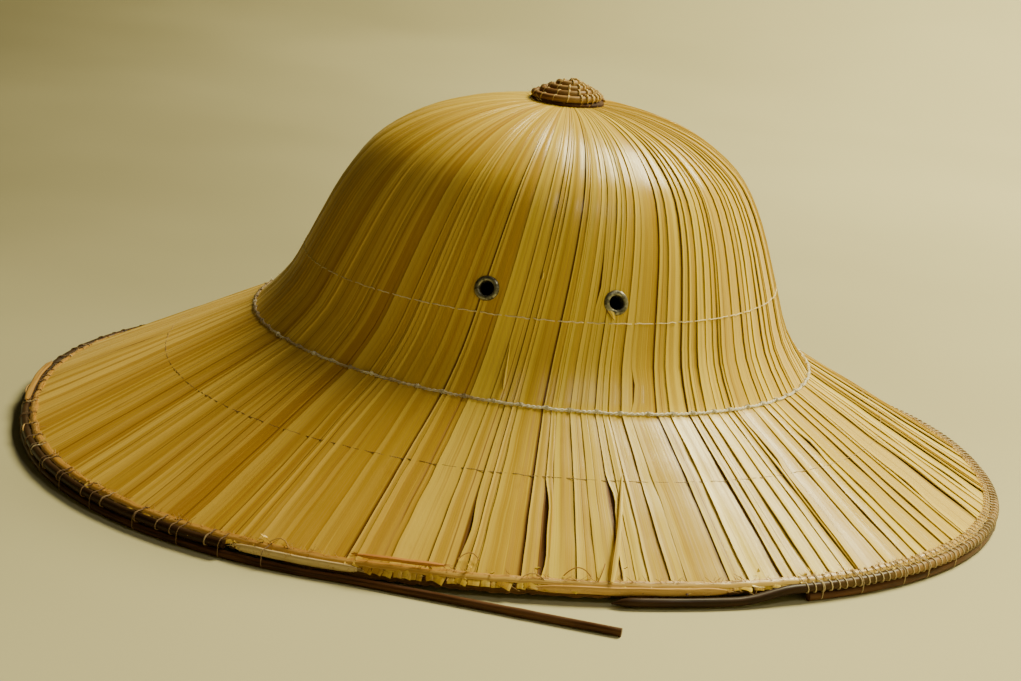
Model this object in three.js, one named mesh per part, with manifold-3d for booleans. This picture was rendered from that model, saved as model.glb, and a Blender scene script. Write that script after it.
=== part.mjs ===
// Sun helmet of pleated leaf strips on a cane-bound rim. Millimetres, +Z up.
// The hat stands on its rim: +X runs along its length, -Y is the side where the canes end.
import * as THREE from "three";
import { mergeVertices } from "three/addons/utils/BufferGeometryUtils.js";
import Module from "manifold-3d";

const wasm = await Module();
wasm.setup();

// Rim outline, seen from above
const RIM_LENGTH = 420;
const RIM_WIDTH = 364;
const RIM_SQUARENESS = 2.2;
const RIM_TAPER = 0.046;

// Ring where the crown meets the brim
const BASE_LENGTH = 238;
const BASE_WIDTH = 226;
const BASE_HEIGHT = 52;
const BASE_TILT = 2.4;
const BASE_SHIFT = 3.4;

// Crown above that ring
const CROWN_RISE = 101;
const CROWN_SHIFT = 3.7;
const CROWN_LEAN = THREE.MathUtils.degToRad(6.5);

// Leaf strips
const LEAF_WALL = 1.4;
const RIB_DEPTH = 0.9;
const STRIP_WIDTH = 8.8;
const STRIP_UNEVEN = 0.28;
const STRIP_BEAT = 2.4;
const STRIP_DRIFT = 0.9;
const STRIP_STEP = 0.14;
const RIM_FAN = THREE.MathUtils.degToRad(3.5);

// Running clearance between neighbouring pieces
const CLEARANCE = 0.3;

// Canes that bind the rim
const UPPER_CANE = 3.6;
const LOWER_CANE = 3.2;
const CANE_SIDES = 6;
const CANE_TURN = Math.PI / CANE_SIDES;
const CANE_STEP = THREE.MathUtils.degToRad(4.5);
const UPPER_FROM = THREE.MathUtils.degToRad(-83.5);
const UPPER_TO = THREE.MathUtils.degToRad(237.6);
const LOWER_FROM = THREE.MathUtils.degToRad(-64);
const LOWER_TO = THREE.MathUtils.degToRad(251.2);

// Upper cane's free end, which has dropped out of its lashing
const DROP_FROM = THREE.MathUtils.degToRad(-65.5);
const DROP_TO = THREE.MathUtils.degToRad(-73);
const DROP_DEPTH = 2.9;
const DROP_OUT = 1.9;
const POINT_LENGTH = 7;
const POINT_BLUNTNESS = 0.125;

// Lower cane's free end, which has sprung out straight
const LOOSE_LENGTH = 102;
const LOOSE_SPLAY = THREE.MathUtils.degToRad(4.4);
const LOOSE_STATIONS = [0.15, 0.5, 1];

// Strip sewn over the leaf ends
const HEM_WIDTH = 4.6;
const HEM_THICKNESS = 0.8;
const HEM_SETBACK = 1.2;

// Thread over the joint of crown and brim
const CORD_DIAMETER = 1.5;
const CORD_SIDES = 5;

// Coiled button on the crown
const BUTTON_RADIUS = 17;
const BUTTON_HEIGHT = 9.5;
const BUTTON_CORD = 3;
const BUTTON_STEPS = 13;

// Ventilation eyelets
const EYELET_FLANGE = 5;
const EYELET_BORE = 2.8;
const EYELET_METAL = 0.7;
const EYELET_ROLL = 1;
const EYELET_ROUND = 0.4;
const EYELET_SIDES = 12;
const EYELET_RISE = 38.5;
const EYELET_MIDDLE = THREE.MathUtils.degToRad(93.6);
const EYELET_TURN = THREE.MathUtils.degToRad(15);

// Crown from the button down to the brim: shares of half the base, of the rise and of the rib depth
const CROWN_SECTIONS = [
  { reach: 0, rise: 1, rib: 0, inside: true },
  { reach: 0.08, rise: 0.997, rib: 0, inside: true },
  { reach: 0.26, rise: 0.976, rib: 0.5, inside: false },
  { reach: 0.43, rise: 0.922, rib: 0.8, inside: true },
  { reach: 0.56, rise: 0.845, rib: 1, inside: false },
  { reach: 0.665, rise: 0.74, rib: 1, inside: true },
  { reach: 0.75, rise: 0.575, rib: 1, inside: false },
  { reach: 0.826, rise: 0.36, rib: 1, inside: true },
  { reach: 0.9, rise: 0.152, rib: 1, inside: true },
  { reach: 1, rise: 0, rib: 0.8, inside: true },
];

// Brim from the crown out to its edge: shares of its width and of the rib depth
const BRIM_SECTIONS = [
  { along: 0, rib: 0.8, inside: true },
  { along: 0.5, rib: 1.4, inside: false },
  { along: 1, rib: 0.8, inside: true },
];

// Bits of split cane on the rim: where they start and end, in degrees round the rim
const SPLITS = [
  { name: "peeled_split", from: -121.2, to: -107.8, width: 3, thick: 1.4, seat: "edge", colour: 0xb79a5c },
  { name: "edge_split", from: -91, to: -74, width: 3, thick: 1.2, seat: "edge", colour: 0xc29c48 },
  { name: "front_splint", from: -107.9, to: -99.5, width: 2.4, thick: 1.4, seat: "hem", colour: 0x9a5a2a },
  { name: "side_splint", from: 169, to: 183.5, width: 2.6, thick: 1.2, seat: "cane", colour: 0xa07a40 },
];

// Fineness of the measuring steps
const ANGLE_NUDGE = 0.002;
const SHARE_NUDGE = 0.01;
const MERGE_DISTANCE = 1e-4;
const HALVINGS = 30;

// Sizes that follow from the ones above
const CROWN_TOP = BASE_HEIGHT + CROWN_RISE;
const UPPER_HEIGHT = LOWER_CANE + CLEARANCE + UPPER_CANE / 2;
const EDGE_INSET = UPPER_CANE + CLEARANCE;
const EDGE_HEIGHT = UPPER_HEIGHT + LEAF_WALL / 2;
const STRIP_COUNT = Math.round((Math.PI * (BASE_LENGTH + BASE_WIDTH)) / 2 / STRIP_WIDTH);

const crownProfile = new THREE.SplineCurve(
  CROWN_SECTIONS.map((section) => new THREE.Vector2(section.reach, section.rise)),
);

// Sign-keeping power, for the rim's rounded-square outline
function signedPower(value, power) {
  return Math.sign(value) * Math.abs(value) ** power;
}

// Point on the rim outline, inset from it and lifted off the floor
function rimPoint(angle, inset, height) {
  const power = 2 / RIM_SQUARENESS;
  const along = signedPower(Math.cos(angle), power);
  const across = signedPower(Math.sin(angle), power);
  const narrowing = 1 - RIM_TAPER * along;
  return new THREE.Vector3(
    (RIM_LENGTH / 2 - inset) * along,
    (RIM_WIDTH / 2 - inset) * across * narrowing,
    height,
  );
}

// Point on the crown's outer face: down is 0 at the button and 1 at the brim
function crownPoint(angle, down) {
  const share = crownProfile.getPoint(down);
  const turned = angle + CROWN_LEAN * share.y;
  const base = BASE_HEIGHT - BASE_TILT * Math.cos(turned);
  return new THREE.Vector3(
    BASE_SHIFT + CROWN_SHIFT * share.y + (BASE_LENGTH / 2) * share.x * Math.cos(turned),
    (BASE_WIDTH / 2) * share.x * Math.sin(turned),
    base + (CROWN_TOP - base) * share.y,
  );
}

// Point on the brim's outer face: along is 0 at the crown and 1 at the edge
function brimPoint(angle, along) {
  const fanned = angle + RIM_FAN * Math.sin(2 * angle);
  const edge = rimPoint(fanned, EDGE_INSET, EDGE_HEIGHT);
  return crownPoint(angle, 1).lerp(edge, along);
}

// Outward normal of a face given as a function of the angle and a share
function normalOf(face, angle, share) {
  const before = Math.max(share - SHARE_NUDGE, 0);
  const after = Math.min(share + SHARE_NUDGE, 1);
  const outward = face(angle, after).sub(face(angle, before));
  const around = face(angle + ANGLE_NUDGE, share).sub(face(angle - ANGLE_NUDGE, share));
  return outward.cross(around).normalize();
}

// Frame at the joint of crown and brim: both walls end square to the same normal
function jointFrame(angle) {
  const point = crownPoint(angle, 1);
  const normal = normalOf(crownPoint, angle, 1).add(normalOf(brimPoint, angle, 0)).normalize();
  const around = crownPoint(angle + ANGLE_NUDGE, 1).sub(crownPoint(angle - ANGLE_NUDGE, 1));
  const outward = around.cross(normal).normalize();
  return { point, normal, outward };
}

// Closed body on a lathe's grid, with each vertex put in its place by column and row
function shapeGrid(columnCount, rowCount, closed, place) {
  const profile = [];
  const rows = closed ? rowCount + 1 : rowCount;
  for (let row = 0; row < rows; row += 1) {
    profile.push(new THREE.Vector2(1, row));
  }
  const lathe = new THREE.LatheGeometry(profile, columnCount);
  const position = lathe.getAttribute("position");
  for (let index = 0; index < position.count; index += 1) {
    const column = Math.floor(index / rows) % columnCount;
    const row = (index % rows) % rowCount;
    const point = place(column, row);
    position.setXYZ(index, point.x, point.y, point.z);
  }
  return tidyGeometry(lathe);
}

// Six times the volume that a triangle closes off with the origin
function tetraVolume(a, b, c) {
  return a.dot(b.clone().cross(c));
}

// Shared vertices merged, pinched triangles dropped and faces turned outward
function tidyGeometry(source) {
  source.deleteAttribute("uv");
  source.deleteAttribute("normal");
  const merged = mergeVertices(source, MERGE_DISTANCE);
  const position = merged.getAttribute("position");
  const corner = (index) => new THREE.Vector3().fromBufferAttribute(position, index);
  const kept = [];
  let volume = 0;
  const index = merged.getIndex().array;
  for (let start = 0; start < index.length; start += 3) {
    const [a, b, c] = index.slice(start, start + 3);
    if (a === b || b === c || c === a) {
      continue;
    }
    volume += tetraVolume(corner(a), corner(b), corner(c));
    kept.push(a, b, c);
  }
  merged.setIndex(volume < 0 ? kept.reverse() : kept);
  merged.computeVertexNormals();
  return merged;
}

// Wall edges of the leaf strips: each strip stands high at one edge and is tucked under at the other
function stripColumns() {
  const widths = [];
  for (let strip = 0; strip < STRIP_COUNT; strip += 1) {
    widths.push(1 + STRIP_UNEVEN * Math.sin(STRIP_BEAT * strip) * Math.cos(STRIP_DRIFT * strip));
  }
  const total = widths.reduce((sum, width) => sum + width, 0);
  const columns = [];
  let angle = -Math.PI;
  for (const width of widths) {
    const turn = (2 * Math.PI * width) / total;
    columns.push({ angle, tuck: 0 });
    columns.push({ angle: angle + turn * (1 - STRIP_STEP), tuck: 1 });
    angle += turn;
  }
  return columns;
}

const COLUMNS = stripColumns();

// Rows of a wall: down its outer face, then back up its inner face
function wallRows(sections) {
  const outer = sections.map((section, index) => ({
    share: index / (sections.length - 1),
    ...section,
    depth: 0,
  }));
  const inner = outer
    .filter((row) => row.inside)
    .map((row) => ({ ...row, depth: LEAF_WALL }))
    .reverse();
  return [...outer, ...inner];
}

// Depth of a wall's vertex under the hat's nominal outer face
function sinkOf(column, row) {
  return column.tuck * row.rib * RIB_DEPTH + row.depth;
}

// Crown wall, closed at the top under the button
function crownGeometry() {
  const rows = wallRows(CROWN_SECTIONS);
  return shapeGrid(COLUMNS.length, rows.length, false, (columnIndex, rowIndex) => {
    const column = COLUMNS[columnIndex];
    const row = rows[rowIndex];
    const sink = sinkOf(column, row);
    if (row.reach === 0) {
      return crownPoint(0, 0).setZ(CROWN_TOP - sink);
    }
    if (row.share === 1) {
      const { point, normal } = jointFrame(column.angle);
      return point.addScaledVector(normal, -sink);
    }
    const normal = normalOf(crownPoint, column.angle, row.share);
    return crownPoint(column.angle, row.share).addScaledVector(normal, -sink);
  });
}

// Brim wall, from a clearance outside the crown to its cane-bound edge
function brimGeometry() {
  const rows = wallRows(BRIM_SECTIONS);
  return shapeGrid(COLUMNS.length, rows.length, true, (columnIndex, rowIndex) => {
    const column = COLUMNS[columnIndex];
    const row = rows[rowIndex];
    const sink = sinkOf(column, row);
    if (row.along === 0) {
      const { point, normal, outward } = jointFrame(column.angle);
      return point.addScaledVector(outward, CLEARANCE).addScaledVector(normal, -sink);
    }
    const normal = normalOf(brimPoint, column.angle, row.along);
    return brimPoint(column.angle, row.along).addScaledVector(normal, -sink);
  });
}

// Solid for cutting, from a closed geometry
function toSolid(geometry) {
  const position = geometry.getAttribute("position");
  const mesh = new wasm.Mesh({
    numProp: 3,
    vertProperties: new Float32Array(position.array),
    triVerts: new Uint32Array(geometry.getIndex().array),
  });
  return new wasm.Manifold(mesh);
}

// Geometry of a cut solid
function fromSolid(solid) {
  const mesh = solid.getMesh();
  const geometry = new THREE.BufferGeometry();
  geometry.setAttribute("position", new THREE.BufferAttribute(mesh.vertProperties, 3));
  geometry.setIndex(new THREE.BufferAttribute(mesh.triVerts, 1));
  geometry.computeVertexNormals();
  return geometry;
}

// How far down the crown's profile a height above its base lies
function downAtRise(rise) {
  let high = 0;
  let low = 1;
  for (let step = 0; step < HALVINGS; step += 1) {
    const middle = (high + low) / 2;
    if (crownProfile.getPoint(middle).y > rise / CROWN_RISE) {
      high = middle;
    } else {
      low = middle;
    }
  }
  return (high + low) / 2;
}

// Seats of the eyelets: a pair on each side of the crown
function eyeletSeats() {
  const down = downAtRise(EYELET_RISE);
  const seats = [];
  for (const side of [-1, 1]) {
    for (const turn of [EYELET_TURN, -EYELET_TURN]) {
      const angle = side * (EYELET_MIDDLE + turn) - (CROWN_LEAN * EYELET_RISE) / CROWN_RISE;
      const normal = normalOf(crownPoint, angle, down);
      const facing = new THREE.Quaternion().setFromUnitVectors(new THREE.Vector3(0, 1, 0), normal);
      seats.push({ point: crownPoint(angle, down), normal, facing });
    }
  }
  return seats;
}

// Crown with a round hole for each eyelet's barrel
function piercedCrown(seats) {
  let solid = toSolid(crownGeometry());
  const holeRadius = EYELET_BORE + EYELET_METAL + CLEARANCE;
  const drillLength = 2 * (EYELET_FLANGE + LEAF_WALL);
  for (const seat of seats) {
    const drill = new THREE.CylinderGeometry(holeRadius, holeRadius, drillLength, EYELET_SIDES);
    drill.applyQuaternion(seat.facing);
    drill.translate(seat.point.x, seat.point.y, seat.point.z);
    solid = solid.subtract(toSolid(tidyGeometry(drill)));
  }
  return fromSolid(solid);
}

// Metal eyelet: a barrel through the wall with a rolled flange on each face
function eyeletGeometry() {
  const top = CLEARANCE;
  const bottom = -(LEAF_WALL + RIB_DEPTH + 2 * CLEARANCE);
  const barrel = EYELET_BORE + EYELET_METAL;
  const rounded = EYELET_FLANGE - EYELET_ROUND;
  const outline = [
    [EYELET_BORE, bottom - EYELET_ROLL],
    [EYELET_BORE, top + EYELET_ROLL],
    [rounded, top + EYELET_ROLL],
    [EYELET_FLANGE, top],
    [barrel, top],
    [barrel, bottom],
    [EYELET_FLANGE, bottom],
    [rounded, bottom - EYELET_ROLL],
    [EYELET_BORE, bottom - EYELET_ROLL],
  ];
  const profile = outline.map(([radius, height]) => new THREE.Vector2(radius, height));
  return tidyGeometry(new THREE.LatheGeometry(profile, EYELET_SIDES));
}

// Round rod along a path, tapered to nothing at each end over its first and last station
function rodGeometry(stations, sides) {
  const last = stations.length - 1;
  const tangentAt = (index) => {
    const before = stations[Math.max(index - 1, 0)].point;
    const after = stations[Math.min(index + 1, last)].point;
    return after.clone().sub(before).normalize();
  };
  const up = new THREE.Vector3(0, 0, 1);
  return shapeGrid(sides, stations.length + 2, false, (column, row) => {
    const index = Math.min(Math.max(row - 1, 0), last);
    const station = stations[index];
    if (row === 0 || row === last + 2) {
      return station.point.clone();
    }
    const side = tangentAt(index).cross(up).normalize();
    const turn = (2 * Math.PI * (column + 0.5)) / sides - Math.PI / 2;
    return station.point
      .clone()
      .addScaledVector(side, station.radius * Math.cos(turn))
      .addScaledVector(up, station.radius * Math.sin(turn));
  });
}

// Angles from one end of an open ring to the other in even steps
function ringAngles(from, to, step) {
  const count = Math.ceil((to - from) / step);
  return Array.from({ length: count + 1 }, (_, index) => from + ((to - from) * index) / count);
}

// Corner radius of a many-sided rod with flats a given distance apart
function cornerRadius(acrossFlats) {
  return acrossFlats / 2 / Math.cos(CANE_TURN);
}

// Upper cane: round the rim on the brim's edge, with a sharpened end that has dropped
function upperCaneGeometry() {
  const radius = cornerRadius(UPPER_CANE);
  const stations = ringAngles(UPPER_FROM, UPPER_TO, CANE_STEP).map((angle) => {
    const drop = Math.min(Math.max((DROP_FROM - angle) / (DROP_FROM - DROP_TO), 0), 1);
    const inset = UPPER_CANE / 2 - DROP_OUT * drop;
    return { point: rimPoint(angle, inset, UPPER_HEIGHT - DROP_DEPTH * drop), radius };
  });
  const end = stations[0].point;
  const ahead = end.clone().sub(stations[1].point).normalize();
  const tip = end.clone().addScaledVector(ahead, POINT_LENGTH).setZ(end.z - UPPER_CANE / 4);
  return rodGeometry([{ point: tip, radius: radius * POINT_BLUNTNESS }, ...stations], CANE_SIDES);
}

// Lower cane: under the upper one, flat on the floor, with its last stretch sprung out straight
function lowerCaneGeometry() {
  const radius = cornerRadius(LOWER_CANE);
  const height = LOWER_CANE / 2;
  const inset = LOWER_CANE / 2;
  const stations = ringAngles(LOWER_FROM, LOWER_TO, CANE_STEP).map((angle) => ({
    point: rimPoint(angle, inset, height),
    radius,
  }));
  const leave = stations.at(-1).point;
  const heading = leave.clone().sub(stations.at(-2).point).normalize();
  const outward = heading.clone().cross(new THREE.Vector3(0, 0, 1));
  for (const share of LOOSE_STATIONS) {
    const length = LOOSE_LENGTH * share;
    const point = leave
      .clone()
      .addScaledVector(heading, length * Math.cos(LOOSE_SPLAY))
      .addScaledVector(outward, length * Math.sin(LOOSE_SPLAY));
    stations.push({ point, radius });
  }
  return rodGeometry(stations, CANE_SIDES);
}

// Hem strip: a thin band lying on the brim just inside its edge
function hemGeometry() {
  const corners = [
    { inward: HEM_SETBACK, lift: CLEARANCE },
    { inward: HEM_SETBACK, lift: CLEARANCE + HEM_THICKNESS },
    { inward: HEM_SETBACK + HEM_WIDTH, lift: CLEARANCE + HEM_THICKNESS },
    { inward: HEM_SETBACK + HEM_WIDTH, lift: CLEARANCE },
  ];
  return shapeGrid(STRIP_COUNT, corners.length, true, (columnIndex, rowIndex) => {
    const angle = (2 * Math.PI * columnIndex) / STRIP_COUNT;
    const { inward, lift } = corners[rowIndex];
    const slope = brimPoint(angle, 0).distanceTo(brimPoint(angle, 1));
    const along = 1 - inward / slope;
    return brimPoint(angle, along).addScaledVector(normalOf(brimPoint, angle, along), lift);
  });
}

// Thick thread that covers the joint of crown and brim
function cordGeometry() {
  const radius = CORD_DIAMETER / 2;
  return shapeGrid(STRIP_COUNT, CORD_SIDES, true, (columnIndex, rowIndex) => {
    const { point, normal, outward } = jointFrame((2 * Math.PI * columnIndex) / STRIP_COUNT);
    const turn = (2 * Math.PI * rowIndex) / CORD_SIDES + Math.PI / 2;
    return point
      .addScaledVector(outward, CLEARANCE / 2 + radius * Math.cos(turn))
      .addScaledVector(normal, 2 * CLEARANCE + radius + radius * Math.sin(turn));
  });
}

// Height of the crown's top face at a distance from its axis
function crownTopHeight(distance) {
  const [, inner, outer] = CROWN_SECTIONS;
  const reach = Math.max(distance / (BASE_LENGTH / 2), inner.reach);
  const rise = THREE.MathUtils.mapLinear(reach, inner.reach, outer.reach, inner.rise, outer.rise);
  return BASE_HEIGHT + CROWN_RISE * rise;
}

// Button: one length of plaited cord wound up in a cone from its edge to its middle
function buttonGeometry() {
  const pitch = BUTTON_CORD + CLEARANCE;
  const radius = BUTTON_CORD / 2;
  const flat = radius * Math.cos(CANE_TURN);
  const widest = BUTTON_RADIUS - radius;
  const turns = (widest - radius) / pitch;
  const stepCount = Math.round(turns * BUTTON_STEPS);
  const middle = crownPoint(0, 0);
  const climb = BUTTON_HEIGHT - BUTTON_CORD;
  const stations = [];
  for (let step = 0; step <= stepCount; step += 1) {
    const share = step / stepCount;
    const distance = widest - pitch * turns * share;
    const angle = 2 * Math.PI * turns * share;
    const seat = crownTopHeight(distance - radius) + CLEARANCE + flat;
    const point = new THREE.Vector3(
      middle.x + distance * Math.cos(angle),
      middle.y + distance * Math.sin(angle),
      seat + climb * share,
    );
    stations.push({ point, radius });
  }
  return rodGeometry(stations, CANE_SIDES);
}

// Split of cane along the rim, seated on the brim's edge, the hem strip or the upper cane
function splitGeometry(split) {
  const half = { across: split.thick / 2, tall: split.width / 2 };
  const seats = {
    edge: () => ({ inset: EDGE_INSET - CLEARANCE - half.across, height: EDGE_HEIGHT - half.tall / 2 }),
    cane: () => ({
      inset: UPPER_CANE / 2,
      height: UPPER_HEIGHT + UPPER_CANE / 2 + CLEARANCE + half.across,
    }),
    hem: () => ({
      inset: EDGE_INSET + half.tall,
      height: EDGE_HEIGHT + HEM_THICKNESS + HEM_WIDTH / 2 + CLEARANCE + half.across,
    }),
  };
  const seat = seats[split.seat]();
  const upright = split.seat === "edge";
  const size = upright ? [half.across, half.tall] : [half.tall, half.across];
  const from = THREE.MathUtils.degToRad(split.from);
  const to = THREE.MathUtils.degToRad(split.to);
  const angles = ringAngles(from, to, CANE_STEP);
  const up = new THREE.Vector3(0, 0, 1);
  return shapeGrid(4, angles.length + 2, false, (column, row) => {
    const index = Math.min(Math.max(row - 1, 0), angles.length - 1);
    const angle = angles[index];
    const point = rimPoint(angle, seat.inset, seat.height);
    if (row === 0 || row === angles.length + 1) {
      return point;
    }
    const ahead = rimPoint(angle + ANGLE_NUDGE, seat.inset, seat.height).sub(point).normalize();
    const side = ahead.cross(up);
    const across = column === 0 || column === 3 ? 1 : -1;
    const tall = column < 2 ? 1 : -1;
    return point.addScaledVector(side, across * size[0]).addScaledVector(up, tall * size[1]);
  });
}

// Named mesh with a finish of its own
function piece(name, geometry, colour, roughness, metalness = 0) {
  const material = new THREE.MeshStandardMaterial({ color: colour, roughness, metalness });
  const mesh = new THREE.Mesh(geometry, material);
  mesh.name = name;
  return mesh;
}

const seats = eyeletSeats();
const hat = new THREE.Group();
hat.add(piece("crown", piercedCrown(seats), 0xc2a05a, 0.6));
hat.add(piece("brim", brimGeometry(), 0xc8a860, 0.6));
hat.add(piece("junction_cord", cordGeometry(), 0xd8cdb0, 0.9));
hat.add(piece("hem_strip", hemGeometry(), 0xb98f4c, 0.8));
hat.add(piece("upper_cane", upperCaneGeometry(), 0x5a4028, 0.55));
hat.add(piece("lower_cane", lowerCaneGeometry(), 0x3a2616, 0.55));
hat.add(piece("crown_button", buttonGeometry(), 0x7a5a30, 0.8));
for (const split of SPLITS) {
  hat.add(piece(split.name, splitGeometry(split), split.colour, 0.7));
}
seats.forEach((seat, index) => {
  const eyelet = piece(`eyelet_${index + 1}`, eyeletGeometry(), 0x8a8c80, 0.35, 1);
  eyelet.position.copy(seat.point);
  eyelet.quaternion.copy(seat.facing);
  hat.add(eyelet);
});

// Origin under the middle of the hat's own box, on the floor that it stands on
hat.updateMatrixWorld(true);
const middle = new THREE.Box3().setFromObject(hat).getCenter(new THREE.Vector3());
hat.position.set(-middle.x, -middle.y, 0);

export default hat;
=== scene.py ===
"""Looks of a sun helmet of pleated leaf strips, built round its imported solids.

Lengths in the dataclass fields are millimetres and angles are degrees, as in the part's own sizes.
Meshes are metres in the row frame.
"""

import bisect
import logging
import math
import random
from dataclasses import dataclass, field
from enum import Enum
from typing import Callable, NamedTuple, Sequence

import bmesh
import bpy
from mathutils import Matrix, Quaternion, Vector, noise


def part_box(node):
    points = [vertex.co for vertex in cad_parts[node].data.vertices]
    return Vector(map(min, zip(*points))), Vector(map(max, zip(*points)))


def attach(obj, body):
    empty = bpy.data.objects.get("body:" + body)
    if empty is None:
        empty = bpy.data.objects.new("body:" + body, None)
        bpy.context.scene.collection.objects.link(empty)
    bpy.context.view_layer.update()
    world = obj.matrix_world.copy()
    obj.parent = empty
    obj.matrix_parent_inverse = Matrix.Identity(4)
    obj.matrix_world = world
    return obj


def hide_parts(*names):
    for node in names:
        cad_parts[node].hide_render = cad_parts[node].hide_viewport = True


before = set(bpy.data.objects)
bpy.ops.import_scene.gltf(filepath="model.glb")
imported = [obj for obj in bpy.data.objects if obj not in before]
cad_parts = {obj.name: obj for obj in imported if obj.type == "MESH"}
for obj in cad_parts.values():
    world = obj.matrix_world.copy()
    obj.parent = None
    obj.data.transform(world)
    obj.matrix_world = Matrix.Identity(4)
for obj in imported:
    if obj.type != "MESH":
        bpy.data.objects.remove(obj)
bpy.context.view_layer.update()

LOG = logging.getLogger("sun_helmet")
MM = 0.001
UP = Vector((0.0, 0.0, 1.0))
BODY = "root"
UV_NAME = "strip"
TONE_NAME = "tone"

Place = Callable[[int, int], Vector]
Node = bpy.types.Node
Socket = bpy.types.NodeSocket
Tone = tuple[float, float, float]
Colour = tuple[float, float, float, float]


def signed_power(value: float, power: float) -> float:
    """Power of a number that keeps the number's sign.

    Args:
        value: any number.
        power: the exponent.

    Returns:
        The power of the number's size, with its sign.
    """
    return math.copysign(abs(value) ** power, value)


def smooth_share(value: float, low: float, high: float) -> float:
    """Smooth step from 0 at low to 1 at high.

    Args:
        value: the number to place.
        low: where the step starts.
        high: where the step ends.

    Returns:
        A share from 0 to 1.
    """
    share = min(max((value - low) / (high - low), 0.0), 1.0)
    return share * share * (3.0 - 2.0 * share)


def wander(travel: float, seed: float) -> float:
    """Slow noise along a path, from about -1 to 1.

    Args:
        travel: place along the path.
        seed: which path it is.

    Returns:
        The noise there.
    """
    return noise.noise(Vector((travel, seed * 7.31, seed * 1.7)))


def even_steps(start: float, end: float, step: float) -> list[float]:
    """Numbers from start to end in even steps no longer than step.

    Args:
        start: the first number.
        end: the last number.
        step: the longest step.

    Returns:
        The numbers, both ends among them.
    """
    count = max(math.ceil(abs(end - start) / step), 1)
    return [start + (end - start) * index / count for index in range(count + 1)]


def random_tone(dice: random.Random) -> Tone:
    """Three random shares for a strand's tone."""
    return (dice.random(), dice.random(), dice.random())


@dataclass(frozen=True)
class Seat:
    """Place of an eyelet: its middle on the crown's face and the way that it faces."""

    point: Vector
    normal: Vector


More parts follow.
